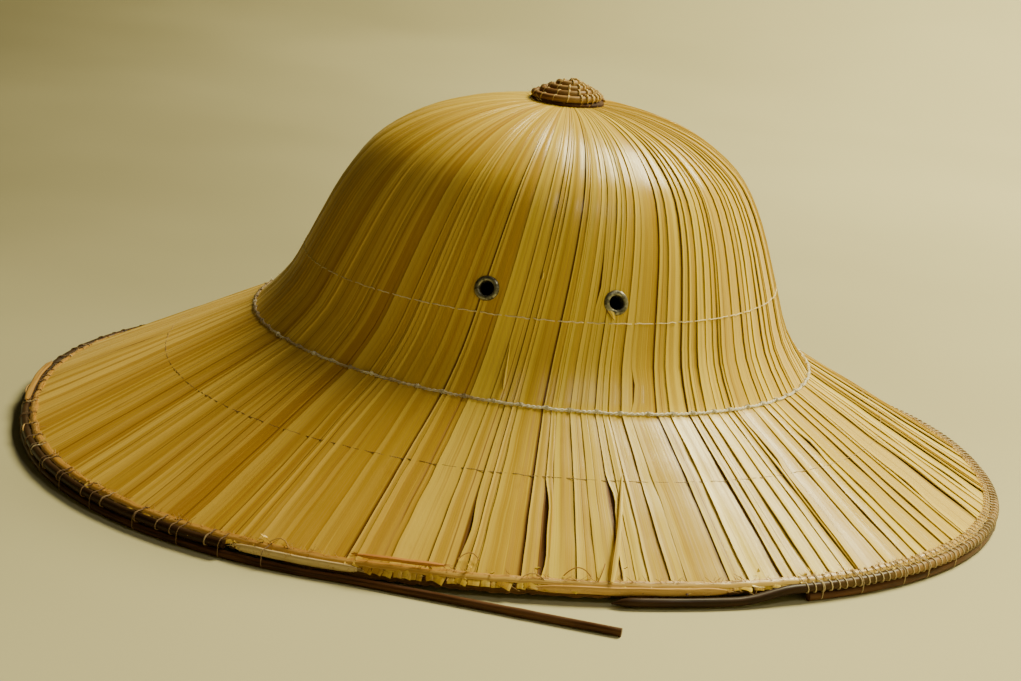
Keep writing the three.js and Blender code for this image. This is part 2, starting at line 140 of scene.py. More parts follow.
@dataclass(frozen=True)
class HatShape:
    """Outer faces of the hat's crown and brim, from the part's own sizes."""

    rim_length: float = 420.0
    rim_width: float = 364.0
    rim_squareness: float = 2.2
    rim_taper: float = 0.046
    base_length: float = 238.0
    base_width: float = 226.0
    base_height: float = 52.0
    base_tilt: float = 2.4
    base_shift: float = 3.4
    crown_rise: float = 101.0
    crown_shift: float = 3.7
    crown_lean: float = math.radians(6.5)
    rim_fan: float = math.radians(3.5)
    edge_inset: float = 3.9
    edge_height: float = 6.0
    reaches: tuple[float, ...] = (0.0, 0.08, 0.26, 0.43, 0.56, 0.665, 0.75, 0.826, 0.9, 1.0)
    rises: tuple[float, ...] = (1.0, 0.997, 0.976, 0.922, 0.845, 0.74, 0.575, 0.36, 0.152, 0.0)
    ribs: tuple[float, ...] = (0.0, 0.12, 0.45, 0.8, 1.0, 1.0, 1.0, 1.0, 1.0, 0.8)
    eyelet_rise: float = 38.5
    eyelet_middle: float = 93.6
    eyelet_turn: float = 15.0
    brim_rib: float = 0.8
    brim_swell: float = 0.25
    brim_round: float = 0.7
    nudge: float = 0.012
    first_travel: float = 0.004
    last_travel: float = 2.2

    @staticmethod
    def row_shift() -> Vector:
        """Step from the hat's own axes to the row frame, read from the brim's solid.

        Returns:
            The step in metres, flat on the floor.
        """
        low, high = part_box("brim")
        middle = (Vector(low) + Vector(high)) / 2.0
        return Vector((middle.x, middle.y, 0.0))

    def place(self, x: float, y: float, z: float) -> Vector:
        """Row-frame point in metres for a point in millimetres on the hat's own axes."""
        return Vector((x * MM, y * MM, z * MM)) + SHIFT

    def profile(self, values: Sequence[float], down: float) -> float:
        """Value of one column of the crown's profile.

        Args:
            values: the column.
            down: 0 at the button and 1 at the brim.

        Returns:
            The smooth curve's value there.
        """
        last = len(values) - 1
        at = min(max(down, 0.0), 1.0) * last
        index = min(int(at), last - 1)
        rest = at - index
        before = values[max(index - 1, 0)]
        here = values[index]
        there = values[index + 1]
        after = values[min(index + 2, last)]
        start = (there - before) / 2.0
        end = (after - here) / 2.0
        cube = 2.0 * here - 2.0 * there + start + end
        square = -3.0 * here + 3.0 * there - 2.0 * start - end
        return cube * rest ** 3 + square * rest ** 2 + start * rest + here

    def rim(self, angle: float, inset: float, height: float) -> Vector:
        """Point on the rim's outline.

        Args:
            angle: parameter round the rim, in radians.
            inset: distance in from the outline, in millimetres.
            height: height over the floor, in millimetres.

        Returns:
            The point in the row frame.
        """
        power = 2.0 / self.rim_squareness
        along = signed_power(math.cos(angle), power)
        across = signed_power(math.sin(angle), power)
        x = (self.rim_length / 2.0 - inset) * along
        y = (self.rim_width / 2.0 - inset) * across * (1.0 - self.rim_taper * along)
        return self.place(x, y, height)

    def crown(self, angle: float, down: float) -> Vector:
        """Point on the crown's outer face.

        Args:
            angle: where the leaf line crosses the joint of crown and brim, in radians.
            down: 0 at the button and 1 at the brim.

        Returns:
            The point in the row frame.
        """
        reach = self.profile(self.reaches, down)
        rise = self.profile(self.rises, down)
        turned = angle + self.crown_lean * rise
        base = self.base_height - self.base_tilt * math.cos(turned)
        top = self.base_height + self.crown_rise
        x = self.base_shift + self.crown_shift * rise + self.base_length / 2.0 * reach * math.cos(turned)
        y = self.base_width / 2.0 * reach * math.sin(turned)
        return self.place(x, y, base + (top - base) * rise)

    def leaf(self, angle: float, travel: float) -> Vector:
        """Point on the hat's outer face along one leaf line.

        Args:
            angle: where the line crosses the joint of crown and brim, in radians.
            travel: 0 at the button, 1 at the joint and 2 at the rim.

        Returns:
            The point in the row frame.
        """
        if travel <= 1.0:
            return self.crown(angle, travel)
        fanned = angle + self.rim_fan * math.sin(2.0 * angle)
        edge = self.rim(fanned, self.edge_inset, self.edge_height)
        return self.crown(angle, 1.0).lerp(edge, travel - 1.0)

    def normal(self, angle: float, travel: float) -> Vector:
        """Outward normal of the hat's face, rounded over the joint.

        Args:
            angle: the leaf line, in radians.
            travel: place along it.

        Returns:
            The normal, one unit long.
        """
        ahead = self.leaf(angle, min(travel + self.nudge, self.last_travel))
        behind = self.leaf(angle, max(travel - self.nudge, self.first_travel))
        around = self.leaf(angle + self.nudge, travel) - self.leaf(angle - self.nudge, travel)
        return (ahead - behind).cross(around).normalized()

    def lifted(self, angle: float, travel: float, lift: float) -> Vector:
        """Point lifted off the hat's face along its normal, in millimetres."""
        return self.leaf(angle, travel) + self.normal(angle, travel) * (lift * MM)

    def near_rim(self, angle: float, inward: float, lift: float) -> Vector:
        """Point on the brim just inside its edge.

        Args:
            angle: parameter round the rim, in radians.
            inward: distance up the brim from its edge, in millimetres.
            lift: height over the brim's face, in millimetres.

        Returns:
            The point in the row frame.
        """
        line = angle - self.rim_fan * math.sin(2.0 * (angle - self.rim_fan * math.sin(2.0 * angle)))
        slope = (self.leaf(line, 2.0) - self.leaf(line, 1.0)).length / MM
        return self.lifted(line, 2.0 - inward / slope, lift)

    def rib(self, travel: float) -> float:
        """Share of the full strip relief that shows.

        Args:
            travel: place along a leaf line.

        Returns:
            The share.
        """
        if travel <= 1.0:
            return self.profile(self.ribs, travel)
        swell = math.sin(math.pi * min(travel - 1.0, 1.0)) ** self.brim_round
        return self.brim_rib + self.brim_swell * swell

    def down_at(self, rise: float) -> float:
        """How far down the crown's profile a share of its rise lies.

        Args:
            rise: height over the joint, as a share of the crown's rise.

        Returns:
            0 at the button and 1 at the brim.
        """
        high, low = 0.0, 1.0
        for _ in range(30):
            middle = (high + low) / 2.0
            if self.profile(self.rises, middle) > rise:
                high = middle
            else:
                low = middle
        return (high + low) / 2.0

    def eyelets(self) -> list[Seat]:
        """Seats of the eyelets.

        Returns:
            The seats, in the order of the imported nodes.
        """
        rise = self.eyelet_rise / self.crown_rise
        down = self.down_at(rise)
        seats = []
        for side in (-1.0, 1.0):
            for turn in (self.eyelet_turn, -self.eyelet_turn):
                angle = side * math.radians(self.eyelet_middle + turn) - self.crown_lean * rise
                seats.append(Seat(self.crown(angle, down), self.normal(angle, down)))
        return seats


SHIFT = HatShape.row_shift()
HAT = HatShape()
SEATS = HAT.eyelets()


class MeshPen:
    """Draws lattices into one bmesh and turns them into a finished piece."""

    full_sheet: int = 1500
    weld: float = 1e-7

    def __init__(self) -> None:
        """Starts an empty mesh with a map and a tone for each strand."""
        self.aside: list[bpy.types.Mesh] = []
        self.open_sheet()

    def open_sheet(self) -> None:
        """Starts a new mesh to draw in."""
        self.mesh = bmesh.new()
        self.map = self.mesh.loops.layers.uv.new(UV_NAME)
        self.tone = self.mesh.verts.layers.float_color.new(TONE_NAME)

    def set_aside(self) -> None:
        """Stores what is drawn so far, so that the next strands are drawn fast."""
        data = bpy.data.meshes.new("drawn")
        self.mesh.to_mesh(data)
        self.mesh.free()
        self.aside.append(data)
        self.open_sheet()

    def gather(self) -> None:
        """Brings back all that was set aside."""
        if not self.aside:
            return
        self.set_aside()
        self.mesh.free()
        self.mesh = bmesh.new()
        for data in self.aside:
            self.mesh.from_mesh(data)
            bpy.data.meshes.remove(data)
        self.aside = []

    def lattice(
        self,
        columns: int,
        rows: int,
        place: Place,
        tone: Tone = (0.5, 0.5, 0.5),
        wrap: bool = False,
        capped: bool = False,
        length: float = 1.0,
    ) -> list[bmesh.types.BMVert]:
        """Adds a grid whose vertices are put in their places.

        Args:
            columns: faces across.
            rows: faces along.
            place: gives the point of a column and a row.
            tone: three random shares that the materials read.
            wrap: whether the last column meets the first.
            capped: whether the ends of a wrapped grid are closed.
            length: the map's reach along the rows, in metres.

        Returns:
            The grid's vertices.
        """
        if len(self.mesh.verts) > self.full_sheet:
            self.set_aside()
        made = bmesh.ops.create_grid(self.mesh, x_segments=columns, y_segments=rows, size=0.5)["verts"]
        spots = {}
        for vert in made:
            column = round((vert.co.x + 0.5) * columns)
            row = round((vert.co.y + 0.5) * rows)
            spots[vert] = (column, row)
        faces = {face for vert in made for face in vert.link_faces}
        for face in faces:
            face.smooth = True
            for loop in face.loops:
                column, row = spots[loop.vert]
                loop[self.map].uv = (column / columns, length * row / rows)
        for vert, (column, row) in spots.items():
            vert.co = place(column, row)
            vert[self.tone] = (*tone, 1.0)
        if wrap:
            seam = [vert for vert, spot in spots.items() if spot[0] in (0, columns)]
            bmesh.ops.remove_doubles(self.mesh, verts=seam, dist=self.weld)
            made = [vert for vert in made if vert.is_valid]
        if capped:
            edges = {edge for vert in made for edge in vert.link_edges if edge.is_boundary}
            lids = bmesh.ops.holes_fill(self.mesh, edges=list(edges), sides=0)["faces"]
            bmesh.ops.recalc_face_normals(
                self.mesh, faces=list({face for vert in made for face in vert.link_faces} | set(lids))
            )
        return made

    def tube(
        self,
        path: Sequence[Vector],
        radii: Sequence[float],
        sides: int,
        tone: Tone = (0.5, 0.5, 0.5),
        ring: bool = False,
        flat: float = 1.0,
        square: float = 1.0,
    ) -> None:
        """Adds a strand along a path.

        Args:
            path: the middle of the strand.
            radii: its radius at each point, in metres.
            sides: how many faces go round it.
            tone: three random shares that the materials read.
            ring: whether the strand closes on itself.
            flat: its height as a share of its width.
            square: 1 for a round section, less for a squarer one.
        """
        count = len(path)
        tangents = []
        for index in range(count):
            after = path[(index + 1) % count] if ring else path[min(index + 1, count - 1)]
            before = path[index - 1] if ring else path[max(index - 1, 0)]
            tangents.append((after - before).normalized())
        side = tangents[0].cross(UP)
        if side.length < 0.05:
            side = tangents[0].cross(Vector((1.0, 0.0, 0.0)))
        sides_at = []
        for tangent in tangents:
            side = (side - tangent * side.dot(tangent)).normalized()
            sides_at.append(side.copy())
        spin = 0.0
        if ring:
            last = (sides_at[-1] - tangents[0] * sides_at[-1].dot(tangents[0])).normalized()
            spin = math.atan2(last.cross(sides_at[0]).dot(tangents[0]), last.dot(sides_at[0]))
        rows = count if ring else count - 1

        def place(column: int, row: int) -> Vector:
            """Point of the strand's skin.

            Args:
                column: step round the strand.
                row: step along it.

            Returns:
                The point in the row frame.
            """
            index = row % count
            turn = 2.0 * math.pi * (column + 0.5) / sides + math.pi + spin * row / count
            over = sides_at[index].cross(tangents[index])
            across = signed_power(math.cos(turn), square)
            tall = signed_power(math.sin(turn), square) * flat
            return path[index] + (sides_at[index] * across + over * tall) * radii[index]

        length = sum((path[index] - path[index - 1]).length for index in range(1, count))
        made = self.lattice(sides, rows, place, tone, wrap=True, capped=not ring, length=length)
        if ring:
            faces = {face for vert in made for face in vert.link_faces}
            bmesh.ops.remove_doubles(self.mesh, verts=made, dist=self.weld)
            bmesh.ops.recalc_face_normals(self.mesh, faces=[face for face in faces if face.is_valid])

    def ribbon(
        self,
        path: Sequence[Vector],
        widths: Sequence[float],
        normals: Sequence[Vector],
        tone: Tone = (0.5, 0.5, 0.5),
        bow: float = 0.0,
        columns: int = 2,
    ) -> None:
        """Adds a flat scrap of leaf along a path.

        Args:
            path: the middle of the scrap.
            widths: its width at each point, in millimetres.
            normals: the way that its face looks at each point.
            tone: three random shares that the materials read.
            bow: how far its middle stands over its edges, in millimetres.
            columns: faces across.
        """
        last = len(path) - 1

        def place(column: int, row: int) -> Vector:
            """Point of the scrap's face.

            Args:
                column: step across the scrap.
                row: step along it.

            Returns:
                The point in the row frame.
            """
            ahead = path[min(row + 1, last)] - path[max(row - 1, 0)]
            side = ahead.cross(normals[row]).normalized()
            share = column / columns
            over = normals[row] * (bow * MM * math.sin(math.pi * share))
            return path[row] + side * ((share - 0.5) * widths[row] * MM) + over

        length = sum((path[index] - path[index - 1]).length for index in range(1, last + 1))
        self.lattice(columns, last, place, tone, length=length)

    def wisp(self, root: Vector, heading: Vector, bend: Vector, radius: float, tone: Tone) -> None:
        """Adds a thin fibre that curls away from its root.

        Args:
            root: where it starts.
            heading: its straight reach, in metres.
            bend: how far its end has curled off, in metres.
            radius: its radius at the root, in millimetres.
            tone: three random shares that the materials read.
        """
        shares = (0.0, 0.3, 0.6, 1.0)
        path = [root + heading * share + bend * share ** 2 for share in shares]
        self.tube(path, [radius * MM * (1.0 - 0.6 * share) for share in shares], 3, tone)

    def pierce(self, seat: Seat, radius: float, reach: float = 15.0, sides: int = 12) -> None:
        """Cuts a round hole through the faces at an eyelet's seat.

        Args:
            seat: the eyelet's seat.
            radius: the hole's radius, in millimetres.
            reach: how far round the seat the cuts go, in millimetres.
            sides: how many straight cuts the hole has.
        """
        self.gather()
        first = seat.normal.orthogonal().normalized()
        faces = [
            face for face in self.mesh.faces if (face.calc_center_median() - seat.point).length < reach * MM
        ]
        edges = {edge for face in faces for edge in face.edges}
        verts = {vert for face in faces for vert in face.verts}
        parts = [*faces, *edges, *verts]
        for index in range(sides):
            toward = Quaternion(seat.normal, 2.0 * math.pi * index / sides) @ first
            parts = bmesh.ops.bisect_plane(
                self.mesh,
                geom=parts,
                dist=self.weld,
                plane_co=seat.point + toward * (radius * MM),
                plane_no=toward,
            )["geom"]
        inside = []
        for face in self.mesh.faces:
            gap = face.calc_center_median() - seat.point
            if gap.length < reach * MM:
                depth = gap.dot(seat.normal)
                if (gap - seat.normal * depth).length < radius * MM:
                    inside.append(face)
        bmesh.ops.delete(self.mesh, geom=inside, context="FACES")

    def finish(self, name: str, thickness: float = 0.0, crease: float = 40.0) -> bpy.types.Object:
        """Turns the mesh into a piece.

        Args:
            name: the piece's name.
            thickness: wall to give it inwards, in millimetres, or 0 for none.
            crease: angle past which an edge is sharp, in degrees.

        Returns:
            The new object.
        """
        self.gather()
        data = bpy.data.meshes.new(name)
        self.mesh.to_mesh(data)
        self.mesh.free()
        piece = bpy.data.objects.new(name, data)
        bpy.context.collection.objects.link(piece)
        if thickness:
            wall = piece.modifiers.new("wall", "SOLIDIFY")
            wall.thickness = thickness * MM
            wall.offset = -1.0
            graph = bpy.context.evaluated_depsgraph_get()
            thick = bpy.data.meshes.new_from_object(piece.evaluated_get(graph))
            thick.name = name
            piece.modifiers.clear()
            piece.data = thick
            bpy.data.meshes.remove(data)
        piece.data.set_sharp_from_angle(angle=math.radians(crease))
        return piece


class Ink:
    """Adds nodes to one node tree and links them."""

    def __init__(self, tree: bpy.types.NodeTree) -> None:
        """Keeps the tree to draw in."""
        self.tree = tree

    def put(self, kind: str, **values: object) -> Node:
        """New node with the given properties.

        Args:
            kind: the node's type.
            values: its properties.

        Returns:
            The node.
        """
        node = self.tree.nodes.new(kind)
        for key, value in values.items():
            setattr(node, key, value)
        return node

    def feed(self, socket: Socket, source: object) -> None:
        """Links a socket to another, or sets its value.

        Args:
            socket: the socket to feed.
            source: the other socket, or the value.
        """
        if isinstance(source, bpy.types.NodeSocket):
            self.tree.links.new(source, socket)
        else:
            socket.default_value = source

    def math(self, operation: str, first: object, second: object = 0.0, clamp: bool = False) -> Socket:
        """Result of a math node.

        Args:
            operation: what the node does.
            first: its first socket or value.
            second: its second socket or value.
            clamp: whether the result is held between 0 and 1.

        Returns:
            The result.
        """
        node = self.put("ShaderNodeMath", operation=operation, use_clamp=clamp)
        self.feed(node.inputs[0], first)
        self.feed(node.inputs[1], second)
        return node.outputs[0]

    def times(self, first: object, second: object) -> Socket:
        """Product of two values."""
        return self.math("MULTIPLY", first, second)

    def plus(self, first: object, second: object) -> Socket:
        """Sum of two values."""
        return self.math("ADD", first, second)

    def minus(self, first: object, second: object) -> Socket:
        """Difference of two values."""
        return self.math("SUBTRACT", first, second)

    def span(self, value: object, low: float, high: float, start: float = 0.0, end: float = 1.0) -> Socket:
        """Value mapped smoothly from one range to another.

        Args:
            value: the value.
            low: where its own range starts.
            high: where its own range ends.
            start: the result at low.
            end: the result at high.

        Returns:
            The result.
        """
        node = self.put("ShaderNodeMapRange", interpolation_type="SMOOTHSTEP")
        for index, source in enumerate((value, low, high, start, end)):
            self.feed(node.inputs[index], source)
        return node.outputs[0]

    def mix(self, share: object, first: object, second: object, blend: str = "MIX") -> Socket:
        """Two colours mixed by a share.

        Args:
            share: how much of the second colour there is.
            first: the first colour.
            second: the second colour.
            blend: how the second colour lies over the first.

        Returns:
            The mixed colour.
        """
        node = self.put("ShaderNodeMix", data_type="RGBA", blend_type=blend)
        self.feed(node.inputs["Factor"], share)
        self.feed(node.inputs["A"], first)
        self.feed(node.inputs["B"], second)
        return node.outputs["Result"]

    def blur_noise(self, vector: Socket, scale: float, detail: float = 3.0, rough: float = 0.5) -> Socket:
        """Noise value at a vector.

        Args:
            vector: where it is read.
            scale: how fine it is.
            detail: how many finer layers it has.
            rough: how strong those layers are.

        Returns:
            The value.
        """
        node = self.put("ShaderNodeTexNoise")
        self.feed(node.inputs["Vector"], vector)
        self.feed(node.inputs["Scale"], scale)
        self.feed(node.inputs["Detail"], detail)
        self.feed(node.inputs["Roughness"], rough)
        return node.outputs["Fac"]

    def pack(self, x: object, y: object, z: object) -> Socket:
        """Vector of three values.

        Args:
            x: the first value.
            y: the second value.
            z: the third value.

        Returns:
            The vector.
        """
        node = self.put("ShaderNodeCombineXYZ")
        for index, source in enumerate((x, y, z)):
            self.feed(node.inputs[index], source)
        return node.outputs[0]

    def split(self, vector: Socket) -> tuple[Socket, Socket, Socket]:
        """Parts a vector.

        Args:
            vector: the vector.

        Returns:
            Its three values.
        """
        node = self.put("ShaderNodeSeparateXYZ")
        self.feed(node.inputs[0], vector)
        return node.outputs[0], node.outputs[1], node.outputs[2]

    def strand_map(self) -> tuple[Socket, Socket]:
        """Places across and along a strand."""
        across, along, _ = self.split(self.put("ShaderNodeUVMap", uv_map=UV_NAME).outputs[0])
        return across, along

    def tones(self) -> tuple[Socket, Socket, Socket]:
        """The three random shares of a strand."""
        return self.split(self.put("ShaderNodeAttribute", attribute_name=TONE_NAME).outputs["Vector"])

    def spot(self) -> tuple[Socket, Socket, Socket]:
        """Place on the object, in metres."""
        return self.split(self.put("ShaderNodeTexCoord").outputs["Object"])

    def relief(self, shader: Node, height: Socket, strength: float, distance: float) -> None:
        """Feeds a height to a shader's normal.

        Args:
            shader: the shader.
            height: the height's value.
            strength: share of the relief that shows.
            distance: the relief's full depth, in millimetres.
        """
        bump = self.put("ShaderNodeBump")
        bump.inputs["Strength"].default_value = strength
        bump.inputs["Distance"].default_value = distance * MM
        self.feed(bump.inputs["Height"], height)
        self.feed(shader.inputs["Normal"], bump.outputs[0])


def new_material(name: str) -> tuple[bpy.types.Material, Ink, Node]:
    """Material with a node tree.

    Args:
        name: its name.

    Returns:
        The material, the ink for its tree, and its shader.
    """
    material = bpy.data.materials.new(name)
    material.use_nodes = True
    return material, Ink(material.node_tree), material.node_tree.nodes["Principled BSDF"]


def fibre_group() -> bpy.types.ShaderNodeTree:
    """Node group for plant fibre: soft bands, fine grain, blotches and a height, by a strand's own map.

    Returns:
        The group, with outputs Grain, Band, Blotch and Height.
    """
    tree = bpy.data.node_groups.new("plant_fibre", "ShaderNodeTree")
    for name, default in (("Fibres", 26.0), ("Stretch", 9.0), ("Bands", 2.6)):
        socket = tree.interface.new_socket(name, in_out="INPUT", socket_type="NodeSocketFloat")
        socket.default_value = default
    for name in ("Grain", "Band", "Blotch", "Height"):
        tree.interface.new_socket(name, in_out="OUTPUT", socket_type="NodeSocketFloat")
    ink = Ink(tree)
    given = ink.put("NodeGroupInput")
    result = ink.put("NodeGroupOutput")
    across, along = ink.strand_map()
    first, _, _ = ink.tones()
    place = ink.times(first, 83.0)
    stretched = ink.times(along, given.outputs["Stretch"])
    grain_place = ink.pack(ink.times(across, given.outputs["Fibres"]), stretched, place)
    band_place = ink.pack(
        ink.times(across, given.outputs["Bands"]), ink.times(stretched, 0.45), place
    )
    blotch_place = ink.pack(across, ink.times(along, 46.0), ink.plus(place, 11.0))
    grain = ink.blur_noise(grain_place, 1.0, 3.0, 0.6)
    fine = ink.blur_noise(grain_place, 2.7, 2.0, 0.5)
    height = ink.plus(ink.times(grain, 0.65), ink.times(fine, 0.35))
    ink.feed(result.inputs["Grain"], grain)
    ink.feed(result.inputs["Band"], ink.blur_noise(band_place, 1.0, 1.0, 0.4))
    ink.feed(result.inputs["Blotch"], ink.blur_noise(blotch_place, 1.0, 3.0, 0.6))
    ink.feed(result.inputs["Height"], height)
    return tree


@dataclass(frozen=True)
class LeafFinish:
    """Dry leaf strip: straw yellow in soft bands, with crease lines, a pale lip and a dark brown tucked edge.

    The crease lines, the tucked edge under the next strip and a gold cast across each strip are
    painted shade, and the pale lip is a painted highlight. The leaf is paler towards +X as painted
    light and a little browner towards -X as painted shade.
    """

    name: str
    body: Colour
    pale: Colour
    gold: Colour
    tan: Colour
    # painted shade colour, laid in the crease lines and on the tucked edge
    fold: Colour = (0.13, 0.045, 0.006, 1.0)
    # painted shade: tint multiplied into the leaf towards -X
    shade_tint: Colour = (0.86, 0.77, 0.95, 1.0)
    # where the painted shade on the tucked edge starts and ends across the strip
    tuck_shade_from: float = 0.83
    tuck_shade_to: float = 0.92
    # strength of the painted shade in the crease lines
    crease: float = 0.6
    fibres: float = 13.0
    roughness: float = 0.25
    specular: float = 0.25
    # x in metres where the painted shade tint is full, and where it is gone
    shade_tint_until: float = -0.13
    unshaded_from: float = 0.05

    def build(self, fibre: bpy.types.ShaderNodeTree) -> bpy.types.Material:
        """Makes the material.

        Args:
            fibre: the shared plant fibre group.

        Returns:
            The material.
        """
        material, ink, shader = new_material(self.name)
        group = ink.put("ShaderNodeGroup", node_tree=fibre)
        group.inputs["Fibres"].default_value = self.fibres
        across, along = ink.strand_map()
        first, second, third = ink.tones()
        x, _, _ = ink.spot()
        grain, band = group.outputs["Grain"], group.outputs["Band"]
        # share from the painted shade side at -X to the unshaded side at +X
        unshaded = ink.span(x, self.shade_tint_until, self.unshaded_from)
        colour = ink.mix(ink.span(first, 0.1, 0.95), self.body, self.pale)
        colour = ink.mix(ink.span(second, 0.6, 1.0, 0.0, 0.55), colour, self.tan)
        colour = ink.mix(ink.span(band, 0.46, 0.62, 0.0, 0.6), colour, self.gold)
        colour = ink.mix(ink.span(band, 0.44, 0.3, 0.0, 0.4), colour, self.pale)
        # painted shade: each strip turns more gold from its raised edge towards its tucked edge
        colour = ink.mix(ink.span(across, 0.3, 0.85, 0.0, 0.4), colour, self.gold)
        colour = ink.mix(ink.span(grain, 0.5, 0.72, 0.0, 0.5), colour, self.tan)
        colour = ink.mix(ink.span(grain, 0.42, 0.28, 0.0, 0.5), colour, self.pale)
        colour = ink.mix(ink.span(group.outputs["Blotch"], 0.62, 0.8, 0.0, 0.3), colour, self.tan)
        # painted highlight: a pale lip along the raised edge
        colour = ink.mix(ink.span(across, 0.13, 0.2, 0.4, 0.0), colour, self.pale)
        # painted shade: thin dark crease lines on some strips, fading in and out along them; the same mask
        # dents the relief
        drift = ink.times(ink.minus(band, 0.5), 0.12)
        line = ink.plus(ink.times(third, 0.42), 0.26)
        gap = ink.math("ABSOLUTE", ink.minus(ink.plus(across, drift), line))
        seen = ink.times(ink.span(gap, 0.012, 0.04, 1.0, 0.0), ink.span(second, 0.5, 0.52))
        fading = ink.blur_noise(ink.pack(third, ink.times(along, 9.0), second), 1.0)
        fading = ink.span(fading, 0.4, 0.55)
        seen = ink.times(ink.times(seen, fading), self.crease)
        colour = ink.mix(seen, colour, self.fold)
        # painted shade: the tucked edge under the next strip's raised edge turns dark brown, a little more
        # towards +X
        tucked = ink.times(
            ink.span(across, self.tuck_shade_from, self.tuck_shade_to), ink.span(unshaded, 0.0, 1.0, 0.85, 0.95)
        )
        colour = ink.mix(tucked, colour, self.fold)
        # painted light: the leaf turns paler towards +X
        colour = ink.mix(ink.span(x, 0.04, 0.17, 0.0, 0.35), colour, self.pale)
        # painted shade: the leaf is tinted browner towards -X
        colour = ink.mix(ink.span(unshaded, 0.0, 1.0, 1.0, 0.0), colour, self.shade_tint, "MULTIPLY")
        ink.feed(shader.inputs["Base Color"], colour)
        rough = ink.span(grain, 0.3, 0.75, self.roughness - 0.05, self.roughness + 0.12)
        ink.feed(shader.inputs["Roughness"], rough)
        shader.inputs["Specular IOR Level"].default_value = self.specular
        height = ink.plus(group.outputs["Height"], ink.times(seen, -0.8))
        ink.relief(shader, height, 0.3, 0.35)
        return material


@dataclass(frozen=True)
class CaneFinish:
    """Cane, split or cord: one dark and one light colour streaked along it."""

    name: str
    dark: Colour
    light: Colour
    plus_x_tint: Colour
    plus_x_tint_from: float = 0.02
    plus_x_tint_to: float = 0.12
    plus_x_tint_share: float = 0.0
    fibres: float = 9.0
    stretch: float = 40.0
    roughness: float = 0.5
    specular: float = 0.12
    bump: float = 0.35

    def build(self, fibre: bpy.types.ShaderNodeTree) -> bpy.types.Material:
        """Makes the material.

        Args:
            fibre: the shared plant fibre group.

        Returns:
            The material.
        """
        material, ink, shader = new_material(self.name)
        group = ink.put("ShaderNodeGroup", node_tree=fibre)
        group.inputs["Fibres"].default_value = self.fibres
        group.inputs["Stretch"].default_value = self.stretch
        _, second, _ = ink.tones()
        x, _, _ = ink.spot()
        shade = ink.times(ink.minus(second, 0.5), 0.6)
        share = ink.math("ADD", ink.span(group.outputs["Grain"], 0.3, 0.7), shade, clamp=True)
        colour = ink.mix(share, self.dark, self.light)
        # a lighter tint in blotchy patches towards +X
        plus_x_tint = ink.times(ink.span(x, self.plus_x_tint_from, self.plus_x_tint_to, 0.04, 1.0), self.plus_x_tint_share)
        blotch = group.outputs["Blotch"]
        patches = ink.span(blotch, 0.38, 0.6, 0.35, 1.0)
        colour = ink.mix(ink.times(plus_x_tint, patches), colour, self.plus_x_tint)
        ink.feed(shader.inputs["Base Color"], colour)
        rough = ink.span(blotch, 0.3, 0.7, self.roughness - 0.1, self.roughness + 0.1)
        ink.feed(shader.inputs["Roughness"], rough)
        shader.inputs["Specular IOR Level"].default_value = self.specular
        ink.relief(shader, group.outputs["Height"], self.bump, 0.3)
        return material


@dataclass(frozen=True)
class ThreadFinish:
    """Plied thread: pale where clean, grey brown in handled blotches and towards -X, with painted shade in
    the ply grooves.
    """

    name: str
    clean: Colour
    soil_and_groove_shade: Colour
    plies: float = 2.0
    pitch: float = 2.0
    roughness: float = 0.85

    def build(self) -> bpy.types.Material:
        """Makes the material.

        Returns:
            The material.
        """
        material, ink, shader = new_material(self.name)
        across, along = ink.strand_map()
        first, second, _ = ink.tones()
        where = ink.put("ShaderNodeTexCoord").outputs["Object"]
        x, _, _ = ink.split(where)
        turn = ink.times(across, 2.0 * math.pi * self.plies)
        climb = ink.times(along, 2.0 * math.pi / (self.pitch * MM))
        twist = ink.span(ink.math("SINE", ink.plus(turn, climb)), -1.0, 1.0)
        # grey brown in blotches, on some strands more than others, and more towards -X
        greying = ink.plus(ink.blur_noise(where, 60.0, 3.0), ink.span(x, 0.02, -0.1, -0.1, 0.28))
        greying = ink.plus(greying, ink.times(ink.minus(first, 0.5), 0.3))
        colour = ink.mix(ink.span(greying, 0.45, 0.85), self.clean, self.soil_and_groove_shade)
        # painted shade: grey brown in the grooves between the plies
        colour = ink.mix(ink.span(twist, 0.0, 0.45, 0.45, 0.0), colour, self.soil_and_groove_shade)
        ink.feed(shader.inputs["Base Color"], colour)
        rough = ink.span(second, 0.0, 1.0, self.roughness - 0.08, self.roughness + 0.08)
        ink.feed(shader.inputs["Roughness"], rough)
        ink.relief(shader, twist, 0.5, 0.15)
        return material


@dataclass(frozen=True)
class MetalFinish:
    """Nickel dulled to a grey green, rubbed bright in places."""

    name: str
    metal: Colour = (0.3, 0.29, 0.23, 1.0)
    dull: Colour = (0.06, 0.055, 0.035, 1.0)
    roughness: float = 0.3

    def build(self) -> bpy.types.Material:
        """Makes the material.

        Returns:
            The material.
        """
        material, ink, shader = new_material(self.name)
        where = ink.put("ShaderNodeTexCoord").outputs["Object"]
        cloud = ink.blur_noise(where, 520.0, 4.0, 0.6)
        speck = ink.blur_noise(where, 2600.0, 2.0, 0.5)
        tarnish = ink.span(cloud, 0.42, 0.62)
        ink.feed(shader.inputs["Base Color"], ink.mix(tarnish, self.metal, self.dull))
        ink.feed(shader.inputs["Metallic"], ink.span(tarnish, 0.0, 1.0, 1.0, 0.55))
        rough = ink.span(cloud, 0.35, 0.65, self.roughness, self.roughness + 0.28)
        ink.feed(shader.inputs["Roughness"], rough)
        ink.relief(shader, speck, 0.25, 0.1)
        return material


